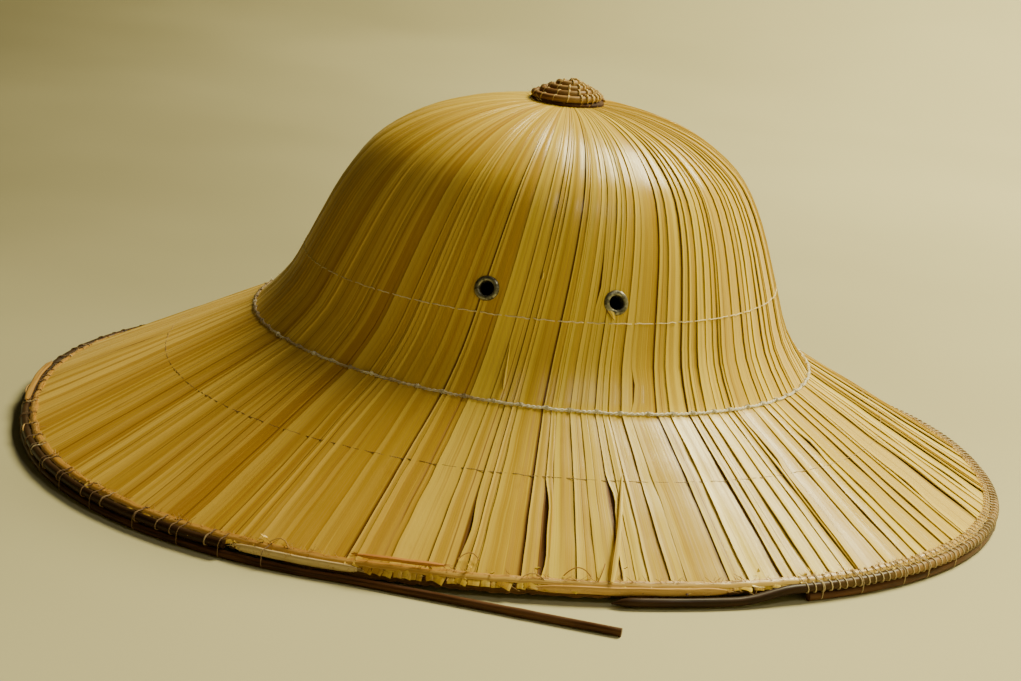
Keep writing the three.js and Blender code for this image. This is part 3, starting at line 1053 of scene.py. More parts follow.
def dress(piece: bpy.types.Object, material: bpy.types.Material, slot: str, *nodes: str) -> None:
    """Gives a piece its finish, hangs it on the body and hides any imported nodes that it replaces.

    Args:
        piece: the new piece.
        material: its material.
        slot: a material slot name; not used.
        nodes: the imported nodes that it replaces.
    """
    piece.data.materials.clear()
    piece.data.materials.append(material)
    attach(piece, BODY)
    if nodes:
        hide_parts(*nodes)
    LOG.info("%s: %d faces", piece.name, len(piece.data.polygons))


@dataclass(frozen=True)
class Strip:
    """One leaf strip: where it starts and ends round the joint, and its own habits."""

    start: float
    end: float
    raise_height: float
    curl: float
    fold: float
    tone: Tone
    seed: float


class Tear(NamedTuple):
    """A place where a strip's raised edge has drawn back: angle, travel along the leaf and opening."""

    angle: float
    start: float
    end: float
    opening: float


TEARS = (
    Tear(angle=-14.0, start=1.48, end=2.02, opening=0.36),
    Tear(angle=-21.8, start=1.4, end=1.98, opening=0.42),
    Tear(angle=-27.6, start=1.5, end=1.8, opening=0.3),
    Tear(angle=-51.1, start=1.44, end=1.64, opening=0.32),
    Tear(angle=-41.1, start=1.18, end=1.38, opening=0.28),
    Tear(angle=-51.6, start=1.12, end=1.38, opening=0.3),
    Tear(angle=-91.0, start=1.42, end=2.02, opening=0.36),
    Tear(angle=-99.4, start=1.5, end=1.96, opening=0.2),
    Tear(angle=-82.9, start=1.38, end=1.7, opening=0.32),
    Tear(angle=-75.3, start=0.88, end=1.0, opening=0.4),
    Tear(angle=-85.5, start=0.66, end=0.78, opening=0.3),
    Tear(angle=175.6, start=1.34, end=1.7, opening=0.32),
    Tear(angle=62.0, start=1.3, end=1.7, opening=0.3),
    Tear(angle=118.0, start=1.5, end=1.9, opening=0.28),
    Tear(angle=31.0, start=0.5, end=0.74, opening=0.28),
)


@dataclass
class LeafCover:
    """The leaf strips that run from the button over the crown and out to the rim."""

    count: int = 134
    seed: int = 11
    thickness: float = 0.4
    depth: float = 0.62
    overlap: float = 0.13
    columns: int = 6
    crown_rows: int = 26
    brim_rows: int = 19
    top: float = 0.035
    narrow: float = 0.2
    wide: float = 0.2
    narrow_widths: tuple[float, float] = (0.42, 0.68)
    usual_widths: tuple[float, float] = (0.8, 1.15)
    wide_widths: tuple[float, float] = (1.25, 1.6)
    raise_heights: tuple[float, float] = (0.55, 1.25)
    curls: tuple[float, float] = (0.12, 0.22)
    folds: tuple[float, float] = (0.1, 0.35)
    full_tear: float = math.radians(2.0)
    eyelet_zone: tuple[float, float] = (0.6, 0.9)
    pressed: tuple[float, float] = (4.6, 8.5)
    length: float = 0.235
    ragged: float = 0.014
    hole: float = 3.8
    laid: list[Strip] = field(default_factory=list, init=False)
    starts: list[float] = field(default_factory=list, init=False)

    def __post_init__(self) -> None:
        """Lays the strips out round the joint, with an edge at each tear."""
        dice = random.Random(self.seed)
        widths = []
        for _ in range(self.count):
            pick = dice.random()
            if pick < self.narrow:
                widths.append(dice.uniform(*self.narrow_widths))
            elif pick < 1.0 - self.wide:
                widths.append(dice.uniform(*self.usual_widths))
            else:
                widths.append(dice.uniform(*self.wide_widths))
        turn = 2.0 * math.pi / sum(widths)
        angle = -math.pi
        for width in widths:
            self.starts.append(angle)
            angle += width * turn
        for tear in TEARS:
            wanted = math.radians(tear.angle)
            nearest = min(range(1, self.count), key=lambda index: abs(self.starts[index] - wanted))
            self.starts[nearest] = wanted
        self.starts.sort()
        for index, start in enumerate(self.starts):
            end = self.starts[index + 1] if index + 1 < self.count else math.pi
            self.laid.append(
                Strip(
                    start=start,
                    end=end,
                    raise_height=dice.uniform(*self.raise_heights),
                    curl=max(dice.gauss(*self.curls), 0.0),
                    fold=dice.choice((0.0, 0.0, dice.uniform(*self.folds))),
                    tone=random_tone(dice),
                    seed=dice.uniform(0.0, 90.0),
                )
            )

    def edge(self, strip: Strip, angle: float, travel: float) -> float:
        """Angle of a strip's edge, which wanders a little.

        Args:
            strip: the strip.
            angle: where the edge crosses the joint, in radians.
            travel: place along the leaf.

        Returns:
            The angle in radians.
        """
        width = strip.end - strip.start
        sway = 0.1 * wander(travel * 1.6, angle * 9.0) + 0.035 * wander(travel * 7.0, angle * 5.0)
        return angle + width * sway

    def raised_edge(self, strip: Strip, travel: float) -> float:
        """Angle of a strip's raised edge, drawn back where it is torn.

        Args:
            strip: the strip.
            travel: place along the leaf.

        Returns:
            The angle in radians.
        """
        width = strip.end - strip.start
        left = self.edge(strip, strip.start, travel) - self.overlap * width
        for tear in TEARS:
            if tear.start < travel < tear.end and abs(math.radians(tear.angle) - strip.start) < 1e-6:
                share = (travel - tear.start) / (tear.end - tear.start)
                wave = 1.0 + 0.25 * math.sin(9.0 * share + 40.0 * tear.start)
                left += tear.opening * self.full_tear * math.sin(math.pi * share) * wave
        return left

    def lift(self, strip: Strip, share: float, travel: float) -> float:
        """Height of a strip's face over the hat's nominal face.

        Args:
            strip: the strip.
            share: 0 at its raised edge and 1 at its tucked edge.
            travel: place along the leaf.

        Returns:
            The height in millimetres.
        """
        tuck = self.depth * strip.raise_height * share ** 0.85
        lip = strip.curl * max(0.0, 1.0 - share * 3.5) ** 2 * (0.6 + 0.8 * max(travel - 1.0, 0.0))
        ridge = strip.fold * math.exp(-(((share - 0.45) / 0.09) ** 2))
        swell = 0.18 * math.sin(math.pi * share)
        bob = 0.25 * wander(travel * 6.0, strip.seed)
        return (lip + ridge + swell + bob - tuck) * HAT.rib(travel)

    def skin(self, angle: float, travel: float) -> float:
        """Height of the topmost strip over the hat's nominal face.

        Args:
            angle: the leaf line, in radians.
            travel: place along it.

        Returns:
            The height in millimetres.
        """
        turned = (angle + math.pi) % (2.0 * math.pi) - math.pi
        guess = bisect.bisect_right(self.starts, turned)
        for index in (guess, guess - 1, guess - 2):
            strip = self.laid[index % self.count]
            following = self.laid[(index + 1) % self.count]
            left = self.raised_edge(strip, travel)
            span = self.edge(following, strip.end, travel) - left
            into = (turned - left + math.pi) % (2.0 * math.pi) - math.pi
            if 0.0 <= into <= span:
                return self.lift(strip, into / span, travel)
        return -self.depth

    def lay(self, pen: MeshPen, strip: Strip, following: Strip, travels: Sequence[float]) -> None:
        """Lays one strip.

        Args:
            pen: where the mesh is drawn.
            strip: the strip.
            following: the strip over its tucked edge.
            travels: the rows' places along the leaf line.
        """

        def place(column: int, row: int) -> Vector:
            """Point of the strip's outer face.

            Args:
                column: step across the strip.
                row: step along it.

            Returns:
                The point in the row frame.
            """
            travel = travels[row]
            share = column / self.columns
            left = self.raised_edge(strip, travel)
            right = self.edge(following, strip.end, travel)
            angle = left + (right - left) * share
            lift = self.lift(strip, share, travel)
            if self.eyelet_zone[0] < travel < self.eyelet_zone[1]:
                face = HAT.leaf(angle, travel)
                gap = min((face - seat.point).length for seat in SEATS) / MM
                lift *= smooth_share(gap, *self.pressed)
            if row == len(travels) - 1:
                travel += self.ragged * wander(3.1 * share, strip.seed + 5.0)
            return HAT.lifted(angle, travel, lift)

        pen.lattice(self.columns, len(travels) - 1, place, strip.tone, length=self.length)

    def travels(self) -> list[float]:
        """Rows along a leaf line, from under the button to the edge."""
        crown = even_steps(self.top, 1.0, 0.965 / self.crown_rows)
        return crown + even_steps(1.0, 2.0, 1.0 / self.brim_rows)[1:]

    def build(self) -> bpy.types.Object:
        """Builds the outer strips.

        Returns:
            The piece.
        """
        pen = MeshPen()
        travels = self.travels()
        for index, strip in enumerate(self.laid):
            self.lay(pen, strip, self.laid[(index + 1) % self.count], travels)
        for seat in SEATS:
            pen.pierce(seat, self.hole)
        return pen.finish("outer_leaves", self.thickness)


@dataclass
class LeafLining:
    """The under layer of the same leaves, a whole wall under the outer strips."""

    columns: int = 150
    crown_rows: int = 30
    brim_rows: int = 12
    depth: float = 1.15
    thickness: float = 0.5
    ripple: float = 0.18
    hole: float = 3.8

    def build(self) -> bpy.types.Object:
        """Builds the under layer.

        Returns:
            The piece.
        """
        pen = MeshPen()
        rows = self.crown_rows + self.brim_rows

        def place(column: int, row: int) -> Vector:
            """Point of the layer's outer face.

            Args:
                column: step round the hat.
                row: step down from the button.

            Returns:
                The point in the row frame.
            """
            angle = 2.0 * math.pi * column / self.columns
            travel = 0.02 + 0.98 * row / self.crown_rows
            if row > self.crown_rows:
                travel = 1.0 + (row - self.crown_rows) / self.brim_rows * 0.995
            ripple = self.ripple * (column % 2)
            return HAT.lifted(angle, travel, -self.depth * max(HAT.rib(travel), 0.4) + ripple - 0.1)

        pen.lattice(self.columns, rows, place, wrap=True)
        for seat in SEATS:
            pen.pierce(seat, self.hole)
        return pen.finish("under_leaves", self.thickness)


@dataclass
class MetalEyelet:
    """Eyelet with a rolled flange outside, a barrel and a pressed flange inside."""

    steps: int = 36
    outline: tuple[tuple[float, float], ...] = (
        (2.8, 0.35), (2.86, 0.82), (3.1, 1.14), (3.5, 1.3), (4.0, 1.28), (4.5, 1.1),
        (4.85, 0.78), (5.0, 0.34), (4.9, 0.12), (3.5, 0.1), (3.5, -2.85), (4.95, -2.9),
        (5.0, -3.25), (4.75, -3.7), (4.1, -3.92), (3.3, -3.86), (2.9, -3.6), (2.8, -3.1),
    )

    def build(self, seat: Seat, index: int) -> bpy.types.Object:
        """Builds one eyelet.

        Args:
            seat: where it sits.
            index: its number, from 1.

        Returns:
            The piece.
        """
        pen = MeshPen()
        first = seat.normal.orthogonal().normalized()
        verts = [
            pen.mesh.verts.new(seat.point + first * (reach * MM) + seat.normal * (height * MM))
            for reach, height in self.outline
        ]
        count = len(verts)
        edges = [pen.mesh.edges.new((verts[spot], verts[(spot + 1) % count])) for spot in range(count)]
        bmesh.ops.spin(
            pen.mesh,
            geom=[*verts, *edges],
            cent=seat.point,
            axis=seat.normal,
            angle=2.0 * math.pi,
            steps=self.steps,
            use_merge=True,
        )
        bmesh.ops.remove_doubles(pen.mesh, verts=pen.mesh.verts[:], dist=pen.weld)
        bmesh.ops.recalc_face_normals(pen.mesh, faces=pen.mesh.faces[:])
        for face in pen.mesh.faces:
            face.smooth = True
        return pen.finish(f"metal_eyelet_{index}", crease=50.0)


@dataclass
class ThreadWork:
    """Threads sewn round the hat: the cord on the joint, and the stitch lines on crown and brim."""

    cover: LeafCover
    cord_radius: float = 0.37
    cord_apart: float = 0.34
    cord_twist: float = 4.2
    knot_every: float = 9.8
    cord_sag: float = 0.008
    cord_points: int = 1200
    knot_size: float = 0.74
    knot_thread: float = 0.27
    crown_line: float = 0.808
    crown_tilt: float = -0.014
    brim_line: float = 1.403
    crown_thread: float = 0.26
    brim_thread: float = 0.17
    stitch_every: float = 9.5
    stitch_points: int = 1100
    stitch_depth: float = 1.5
    seed: int = 5

    def taut(self, line: Callable[[float], float], stations: int, reach: int) -> list[float]:
        """Heights of a thread drawn over the strips along a line.

        Args:
            line: travel of the line at an angle.
            stations: how many points it has.
            reach: how many neighbours hold it up.

        Returns:
            The height of each point over the hat's nominal face, in millimetres.
        """
        angles = [2.0 * math.pi * index / stations for index in range(stations)]
        skins = [self.cover.skin(angle, line(angle)) for angle in angles]
        window = range(-reach, reach + 1)
        tops = [max(skins[(index + step) % stations] for step in window) for index in range(stations)]
        return [
            sum(tops[(index + step) % stations] for step in window) / len(window) for index in range(stations)
        ]

    @staticmethod
    def bearings(path: Sequence[Vector], index: int) -> tuple[Vector, Vector, Vector]:
        """Bearings at a point of a closed path.

        Args:
            path: the path.
            index: the point's number.

        Returns:
            The ways ahead, sideways and over.
        """
        ahead = (path[(index + 1) % len(path)] - path[index - 1]).normalized()
        side = ahead.cross(UP).normalized()
        return ahead, side, side.cross(ahead)

    def joint_cord(self) -> bpy.types.Object:
        """Builds the two-ply cord over the joint, slack between its knots.

        Returns:
            The piece.
        """
        pen = MeshPen()
        dice = random.Random(self.seed)
        stations = self.cord_points
        around = math.pi * (HAT.base_length + HAT.base_width) / 2.0
        knots = round(around / self.knot_every)
        turns = round(around / self.cord_twist)
        heights = self.taut(lambda angle: 1.0, stations, reach=8)
        middle = []
        for index in range(stations):
            angle = 2.0 * math.pi * index / stations
            along = index / stations * knots
            sag = self.cord_sag * math.sin(math.pi * (along % 1.0)) * (0.7 + 0.6 * wander(int(along), 3.0))
            travel = 1.0 + sag + 0.003 * wander(along * 0.7, 8.0)
            middle.append(HAT.lifted(angle, travel, 0.62 + 0.55 * heights[index]))
        for ply in (0.0, math.pi):
            path = []
            for index, point in enumerate(middle):
                _, side, over = self.bearings(middle, index)
                turn = 2.0 * math.pi * turns * index / stations + ply
                arm = side * math.cos(turn) + over * math.sin(turn)
                path.append(point + arm * (self.cord_apart * MM))
            pen.tube(path, [self.cord_radius * MM] * stations, 5, (dice.random(), 0.6, 0.5), ring=True)
        for knot in range(knots):
            index = round((knot + dice.uniform(-0.12, 0.12)) * stations / knots) % stations
            point = middle[index]
            ahead, side, over = self.bearings(middle, index)
            tone = random_tone(dice)
            for step in (-0.35, 0.35):
                loop = []
                for spot in range(9):
                    turn = 2.0 * math.pi * spot / 9
                    slant = ahead * (MM * (step + 0.5 * math.cos(turn) * dice.uniform(0.4, 1.0)))
                    arm = side * math.cos(turn) + over * math.sin(turn)
                    loop.append(point + slant + arm * (self.knot_size * MM))
                pen.tube(loop, [self.knot_thread * MM] * len(loop), 4, tone, ring=True)
            if dice.random() < 0.4:
                heading = side * dice.uniform(0.8, 2.2) + ahead * dice.uniform(-1.5, 1.5) + over * 0.6
                pen.wisp(point + over * MM * 0.8, heading * MM, ahead * MM * dice.uniform(-1, 1), 0.16, tone)
        return pen.finish("twisted_cord")

    def stitches(
        self, name: str, line: Callable[[float], float], radius: float, seed: int
    ) -> bpy.types.Object:
        """Builds one line of long running stitches.

        Args:
            name: the piece's name.
            line: travel of the line at an angle.
            radius: the thread's radius, in millimetres.
            seed: which line it is.

        Returns:
            The piece.
        """
        pen = MeshPen()
        dice = random.Random(seed)
        stations = self.stitch_points
        heights = self.taut(line, stations, reach=1)
        turns = [index / 20.0 for index in range(127)]
        points = [HAT.leaf(turn, line(turn)) for turn in turns]
        around = sum((here - there).length for here, there in zip(points, points[1:]))
        count = round(around / MM / self.stitch_every)
        holes = [(hole + dice.uniform(-0.25, 0.25)) / count for hole in range(count)]
        path = []
        for index in range(stations):
            share = index / stations
            angle = 2.0 * math.pi * share
            gap = min(abs((share - hole + 0.5) % 1.0 - 0.5) for hole in holes) * around / MM
            dip = self.stitch_depth * math.exp(-((gap / 0.42) ** 2))
            travel = line(angle) + 0.0022 * wander(share * 300.0, seed)
            path.append(HAT.lifted(angle, travel, heights[index] + radius + 0.12 - dip))
        pen.tube(path, [radius * MM] * stations, 4, random_tone(dice), ring=True)
        return pen.finish(name)

    def build(self) -> list[bpy.types.Object]:
        """Builds the cord and both stitch lines.

        Returns:
            The pieces.
        """

        def crown_line(angle: float) -> float:
            """Travel of the crown's stitch line at an angle."""
            return self.crown_line + self.crown_tilt * math.cos(angle)

        return [
            self.joint_cord(),
            self.stitches("crown_stitch", crown_line, self.crown_thread, 3),
            self.stitches("brim_stitch", lambda angle: self.brim_line, self.brim_thread, 4),
        ]


@dataclass
class HemBand:
    """Tan band sewn over the leaf ends, with its frayed edges."""

    width: float = 3.1
    thickness: float = 0.4
    height: float = 0.55
    columns: int = 430
    rows: int = 6
    map_length: float = 0.02
    fibres: int = 1500
    fibre_radii: tuple[float, float] = (0.07, 0.15)
    bare_middle: float = -100.0
    seed: int = 21

    def band(self) -> bpy.types.Object:
        """Builds the band, wrinkled where the thread draws it down.

        Returns:
            The piece.
        """
        pen = MeshPen()

        def place(column: int, row: int) -> Vector:
            """Point of the band's outer face.

            Args:
                column: step round the rim.
                row: step up the brim.

            Returns:
                The point in the row frame.
            """
            angle = 2.0 * math.pi * column / self.columns
            share = row / self.rows
            wave = 0.55 * wander(column * 0.21, 2.0 + row // 4) + 0.35 * wander(column * 0.9, 5.0)
            inward = self.width * share + wave * (0.4 + share)
            crown = 0.45 * math.sin(math.pi * share)
            pleat = 0.22 * math.sin(column * 1.9) * (1.0 - share * 0.5)
            return HAT.near_rim(angle, inward, self.height + crown + pleat)

        made = pen.lattice(self.columns, self.rows, place, wrap=True, length=self.map_length)
        for face in {face for vert in made for face in vert.link_faces}:
            for loop in face.loops:
                across, along = loop[pen.map].uv
                loop[pen.map].uv = (along / self.map_length, across * 1.2)
        return pen.finish("hem_band", self.thickness)

    def fray(self) -> bpy.types.Object:
        """Builds the fibres that stand off the band and the leaf ends.

        Returns:
            The piece.
        """
        pen = MeshPen()
        dice = random.Random(self.seed)
        for _ in range(self.fibres):
            angle = dice.uniform(-math.pi, math.pi)
            front = smooth_share(abs(math.degrees(angle) - self.bare_middle), 55.0, 30.0)
            inner = dice.random() < 0.6
            inward = self.width * dice.uniform(0.5, 1.05) if inner else dice.uniform(-1.0, 0.8)
            root = HAT.near_rim(angle, inward, 1.1 if inner else 0.2)
            ahead = HAT.near_rim(angle + 0.01, inward, 1.0)
            behind = HAT.near_rim(angle - 0.01, inward, 1.0)
            around = (ahead - behind).normalized()
            lower = HAT.near_rim(angle, inward - 1.0, 1.0)
            outward = (lower - HAT.near_rim(angle, inward, 1.0)).normalized()
            over = around.cross(outward) if around.cross(outward).z > 0.0 else outward.cross(around)
            length = dice.uniform(0.7, 1.9 + 2.0 * front)
            lean = dice.uniform(-1.0, 1.0)
            away = outward * (-0.55 if inner else 0.9)
            heading = around * lean + away + over * dice.uniform(0.0, 0.35)
            bend = around * dice.uniform(-0.6, 0.6) + over * dice.uniform(-0.2, 0.5)
            radius = dice.uniform(*self.fibre_radii)
            pen.wisp(root, heading * (length * MM), bend * (length * 0.5 * MM), radius, random_tone(dice))
        return pen.finish("hem_fray")


@dataclass(frozen=True)
class RimCanes:
    """The two canes round the rim, each bent from one length and open at the front."""

    upper: float = 3.6
    lower: float = 3.2
    upper_height: float = 5.3
    upper_from: float = -83.5
    upper_to: float = 237.6
    lower_from: float = -64.0
    lower_to: float = 251.2
    drop_from: float = -65.5
    drop_to: float = -73.0
    drop_depth: float = 2.9
    drop_out: float = 1.9
    point: float = 7.0
    point_step: float = 0.34
    point_cuts: tuple[tuple[float, float], ...] = ((0.3, 0.86), (0.65, 0.5), (1.0, 0.14))
    sides: int = 12
    loose: float = 102.0
    splay: float = math.radians(4.4)
    step: float = 1.1
    node_every: float = 84.0

    def radii(self, path: Sequence[Vector], radius: float, seed: float) -> list[float]:
        """Radius at each point, with a swelling at each of the cane's nodes.

        Args:
            path: the cane's middle.
            radius: its plain radius, in millimetres.
            seed: which cane it is.

        Returns:
            The radii in metres.
        """
        travelled = 0.0
        made = []
        for index, point in enumerate(path):
            if index:
                travelled += (point - path[index - 1]).length / MM
            gap = (travelled + 20.0 * seed) % self.node_every
            gap = min(gap, self.node_every - gap)
            swell = 0.09 * math.exp(-((gap / 1.6) ** 2)) + 0.025 * wander(travelled * 0.09, seed)
            made.append(radius * MM * (1.0 + swell - 0.015))
        return made

    def upper_cane(self) -> bpy.types.Object:
        """Builds the upper cane, whose cut point has dropped out of its lashing.

        Returns:
            The piece.
        """
        pen = MeshPen()
        path = []
        for degrees in even_steps(self.upper_from, self.upper_to, self.step):
            drop = smooth_share(degrees, self.drop_from, self.drop_to)
            inset = self.upper / 2.0 - self.drop_out * drop + 0.12 * wander(degrees * 0.13, 1.0)
            height = self.upper_height - self.drop_depth * drop + 0.1 * wander(degrees * 0.1, 2.0)
            path.append(HAT.rim(math.radians(degrees), inset, height))
        radii = self.radii(path, self.upper / 2.0, 1.0)
        ahead = (path[0] - path[1]).normalized()
        for share, thin in self.point_cuts:
            drop = UP * (self.upper / 4.0 * MM * share)
            path.insert(0, path[0] + ahead * (self.point * self.point_step * MM) - drop * self.point_step)
            radii.insert(0, self.upper / 2.0 * MM * thin)
        pen.tube(path, radii, self.sides, (0.3, 0.5, 0.5))
        return pen.finish("bound_cane")

    def lower_cane(self) -> bpy.types.Object:
        """Builds the lower cane, whose last stretch has sprung out straight.

        Returns:
            The piece.
        """
        pen = MeshPen()
        middle = self.lower / 2.0
        path = [
            HAT.rim(math.radians(degrees), middle, middle)
            for degrees in even_steps(self.lower_from, self.lower_to, self.step)
        ]
        leave = path[-1]
        heading = (leave - path[-2]).normalized()
        outward = heading.cross(UP)
        for share in even_steps(0.0, 1.0, 0.06)[1:]:
            reach = self.loose * MM * share
            run, drift = reach * math.cos(self.splay), reach * math.sin(self.splay)
            path.append(leave + heading * run + outward * drift)
        pen.tube(path, self.radii(path, middle, 2.0), self.sides, (0.7, 0.5, 0.5))
        return pen.finish("floor_cane")


@dataclass(frozen=True)
class RimLashing:
    """Thread that binds the canes to the leaf ends: dense on the right, sparse on the left."""

    dense_from: float = -64.5
    dense_to: float = 70.0
    sparse_to: float = 236.0
    under_to: float = 248.0
    dense_every: float = 3.7
    sparse_every: float = 12.5
    under_every: float = 21.0
    radius: float = 0.24
    under_radius: float = 0.16
    probe: float = 0.5
    outside: tuple[tuple[float, float], ...] = ((1.9, 7.42), (0.55, 6.85), (-0.22, 5.3))
    round_both: tuple[tuple[float, float], ...] = (
        (-0.24, 3.4), (-0.2, 1.6), (0.4, 0.45), (1.6, 0.16), (2.9, 0.5), (3.45, 1.8), (4.1, 3.7)
    )
    round_upper: tuple[tuple[float, float], ...] = ((0.15, 3.9), (1.3, 3.38), (3.2, 3.5), (4.3, 3.9))
    seed: int = 31

    def pace(self, degrees: float) -> float:
        """Length of the rim over one probe step.

        Args:
            degrees: where the step starts.

        Returns:
            The length in millimetres.
        """
        here = HAT.rim(math.radians(degrees), 2.0, 5.0)
        there = HAT.rim(math.radians(degrees + self.probe), 2.0, 5.0)
        return (there - here).length / MM

    def loop(self, pen: MeshPen, angle: float, slant: float, both: bool, radius: float, tone: Tone) -> None:
        """Adds one turn of thread round the cane and through the leaf.

        Args:
            pen: where the mesh is drawn.
            angle: where it is on the rim, in radians.
            slant: how far its lower half runs on, in radians.
            both: whether it takes in the lower cane.
            radius: the thread's radius, in millimetres.
            tone: three random shares that the material reads.
        """
        points = [*self.outside, *(self.round_both if both else self.round_upper)]
        count = len(points) + 3
        path = []
        for index, (inset, height) in enumerate(points):
            path.append(HAT.rim(angle + slant * index / count, inset, height))
        path.append(HAT.near_rim(angle + slant, 3.4, -2.2))
        path.append(HAT.near_rim(angle + slant * 0.6, 3.5, 0.2))
        path.append(HAT.near_rim(angle, 2.6, 1.25))
        path.append(HAT.near_rim(angle, 0.8, 1.25))
        rounded = []
        for index, point in enumerate(path):
            before, after = path[index - 1], path[(index + 1) % len(path)]
            rounded.append(point * 0.86 + (before + after) * 0.07)
            rounded.append((point + after) * 0.5)
        pen.tube(rounded, [radius * MM] * len(rounded), 4, tone, ring=True)

    def build(self) -> bpy.types.Object:
        """Builds all the lashing.

        Returns:
            The piece.
        """
        pen = MeshPen()
        dice = random.Random(self.seed)
        degrees = self.dense_from
        while degrees < self.sparse_to:
            dense = degrees < self.dense_to
            every = self.dense_every if dense else self.sparse_every
            pace = self.pace(degrees)
            jitter = 0.12 if dense else 0.5
            slant = math.radians(self.probe * (1.2 if dense else dice.uniform(-1.5, 3.0)) / pace)
            radius = self.radius * dice.uniform(0.9, 1.2)
            self.loop(pen, math.radians(degrees), slant, False, radius, random_tone(dice))
            degrees += self.probe * every * (1.0 + dice.uniform(-jitter, jitter)) / pace
        degrees = self.dense_from + 2.0
        while degrees < self.under_to:
            tone = (0.95, dice.random(), 0.5)
            self.loop(pen, math.radians(degrees), 0.0, True, self.under_radius, tone)
            degrees += self.probe * self.under_every * dice.uniform(0.7, 1.3) / self.pace(degrees)
        return pen.finish("rim_lashing")


@dataclass(frozen=True)
class CoilButton:
    """Button on top: one cord wound up in a cone and whipped down with thread."""

    radius: float = 17.0
    height: float = 9.5
    cord: float = 3.0
    clearance: float = 0.3
    steps: int = 30
    bed_steps: int = 36
    bed: tuple[tuple[float, float], ...] = ((0.0, 7.4), (2.2, 7.0), (8.8, 4.0), (15.4, 0.5), (15.7, -0.9))
    stitch_swell: tuple[float, ...] = (0.6, 0.95, 1.1, 1.15, 1.1, 0.95, 0.6)
    fibres: int = 26
    seed: int = 41

    def seat(self, distance: float) -> float:
        """Height of the crown's top.

        Args:
            distance: how far from the crown's axis, in millimetres.

        Returns:
            The height over the floor, in millimetres.
        """
        reach = max(distance / (HAT.base_length / 2.0), HAT.reaches[1])
        share = (reach - HAT.reaches[1]) / (HAT.reaches[2] - HAT.reaches[1])
        rise = HAT.rises[1] + (HAT.rises[2] - HAT.rises[1]) * share
        return HAT.base_height + HAT.crown_rise * rise

    def spiral(self) -> list[Vector]:
        """Winds the middle of the cord.

        Returns:
            Its points from the button's edge to its top.
        """
        pitch = self.cord + self.clearance
        radius = self.cord / 2.0
        widest = self.radius - radius
        turns = (widest - radius) / pitch
        count = round(turns * self.steps)
        middle = HAT.crown(0.0, 0.0)
        path = []
        for step in range(count + 1):
            share = step / count
            distance = widest - pitch * turns * share
            angle = 2.0 * math.pi * turns * share
            height = self.seat(distance - radius) + self.clearance + radius * 0.87
            height += (self.height - self.cord) * share - HAT.base_height - HAT.crown_rise
            arm = Vector((math.cos(angle), math.sin(angle), 0.0)) * (distance * MM)
            path.append(middle + arm + UP * (height * MM))
        return path

    def coil(self) -> bpy.types.Object:
        """Builds the wound cord.

        Returns:
            The piece.
        """
        pen = MeshPen()
        path = self.spiral()
        swells = [1.04 + 0.05 * wander(index * 0.35, 4.0) for index in range(len(path))]
        radii = [self.cord / 2.0 * MM * swell for swell in swells]
        for index, thin in enumerate((0.35, 0.75, 0.95)):
            radii[index] *= thin
            radii[-1 - index] *= thin + 0.1
        pen.tube(path, radii, 10, (0.5, 0.5, 0.5))
        return pen.finish("button_coil")

    def core(self) -> bpy.types.Object:
        """Builds the dark bed that shows between the turns, a sheet of painted shade.

        Returns:
            The piece.
        """
        pen = MeshPen()
        middle = HAT.crown(0.0, 0.0)

        def place(column: int, row: int) -> Vector:
            """Point of the bed.

            Args:
                column: step round the bed.
                row: step out from its top.

            Returns:
                The point in the row frame.
            """
            angle = 2.0 * math.pi * column / self.bed_steps
            reach, height = self.bed[row]
            reach = max(reach, 0.05)
            return middle + Vector((math.cos(angle) * reach, math.sin(angle) * reach, height)) * MM

        pen.lattice(self.bed_steps, len(self.bed) - 1, place, wrap=True, capped=True, length=0.02)
        return pen.finish("button_shade_bed")

    def whipping(self) -> bpy.types.Object:
        """Builds the stitches over the cord: thick and pale on the right, thin on the left.

        Returns:
            The piece.
        """
        pen = MeshPen()
        dice = random.Random(self.seed)
        path = self.spiral()
        middle = HAT.crown(0.0, 0.0)
        travelled = 0.0
        due = 2.0
        for index in range(2, len(path) - 3):
            travelled += (path[index] - path[index - 1]).length / MM
            if travelled < due:
                continue
            point = path[index]
            right = smooth_share((point.x - middle.x) / MM, -7.0, 5.0)
            due = travelled + 4.2 - 2.0 * right + dice.uniform(-0.3, 0.3)
            outward = point - middle
            outward.z = 0.0
            outward = outward.normalized() if outward.length > 1e-4 else Vector((1.0, 0.0, 0.0))
            ahead = (path[index + 1] - path[index - 1]).normalized()
            thread = 0.2 + 0.32 * right * dice.uniform(0.8, 1.15)
            reach = (self.cord / 2.0 + thread * 0.55) * MM
            strand = []
            for spot in range(7):
                turn = math.radians(-35.0 + 225.0 * spot / 6)
                slant = ahead * (MM * 0.9 * (spot / 6 - 0.5))
                strand.append(point + (outward * math.cos(turn) + UP * math.sin(turn)) * reach + slant)
            tone = (0.1 + 0.5 * (1.0 - right), dice.random(), dice.random())
            pen.tube(strand, [thread * MM * share for share in self.stitch_swell], 6, tone)
        for _ in range(self.fibres):
            angle = dice.uniform(-math.pi, math.pi)
            reach = dice.uniform(14.5, 16.6)
            arm = Vector((math.cos(angle), math.sin(angle), 0.0))
            root = middle + arm * (reach * MM) + UP * (MM * dice.uniform(-0.5, 1.6))
            bend = Vector((dice.uniform(-1, 1), dice.uniform(-1, 1), dice.uniform(0, 1))) * MM
            pen.wisp(root, (arm + UP * 0.4) * (dice.uniform(1.0, 2.6) * MM), bend, 0.1, random_tone(dice))
        return pen.finish("button_stitches")


class Perch(Enum):
    """What a split of cane lies against."""

    EDGE = "brim edge"
    HEM = "hem band"
    CANE = "upper cane"


class Split(NamedTuple):
    """A split of cane on the rim, with its ends in degrees."""

    node: str
    name: str
    slot: str
    start: float
    end: float
    width: float
    thick: float
    perch: Perch


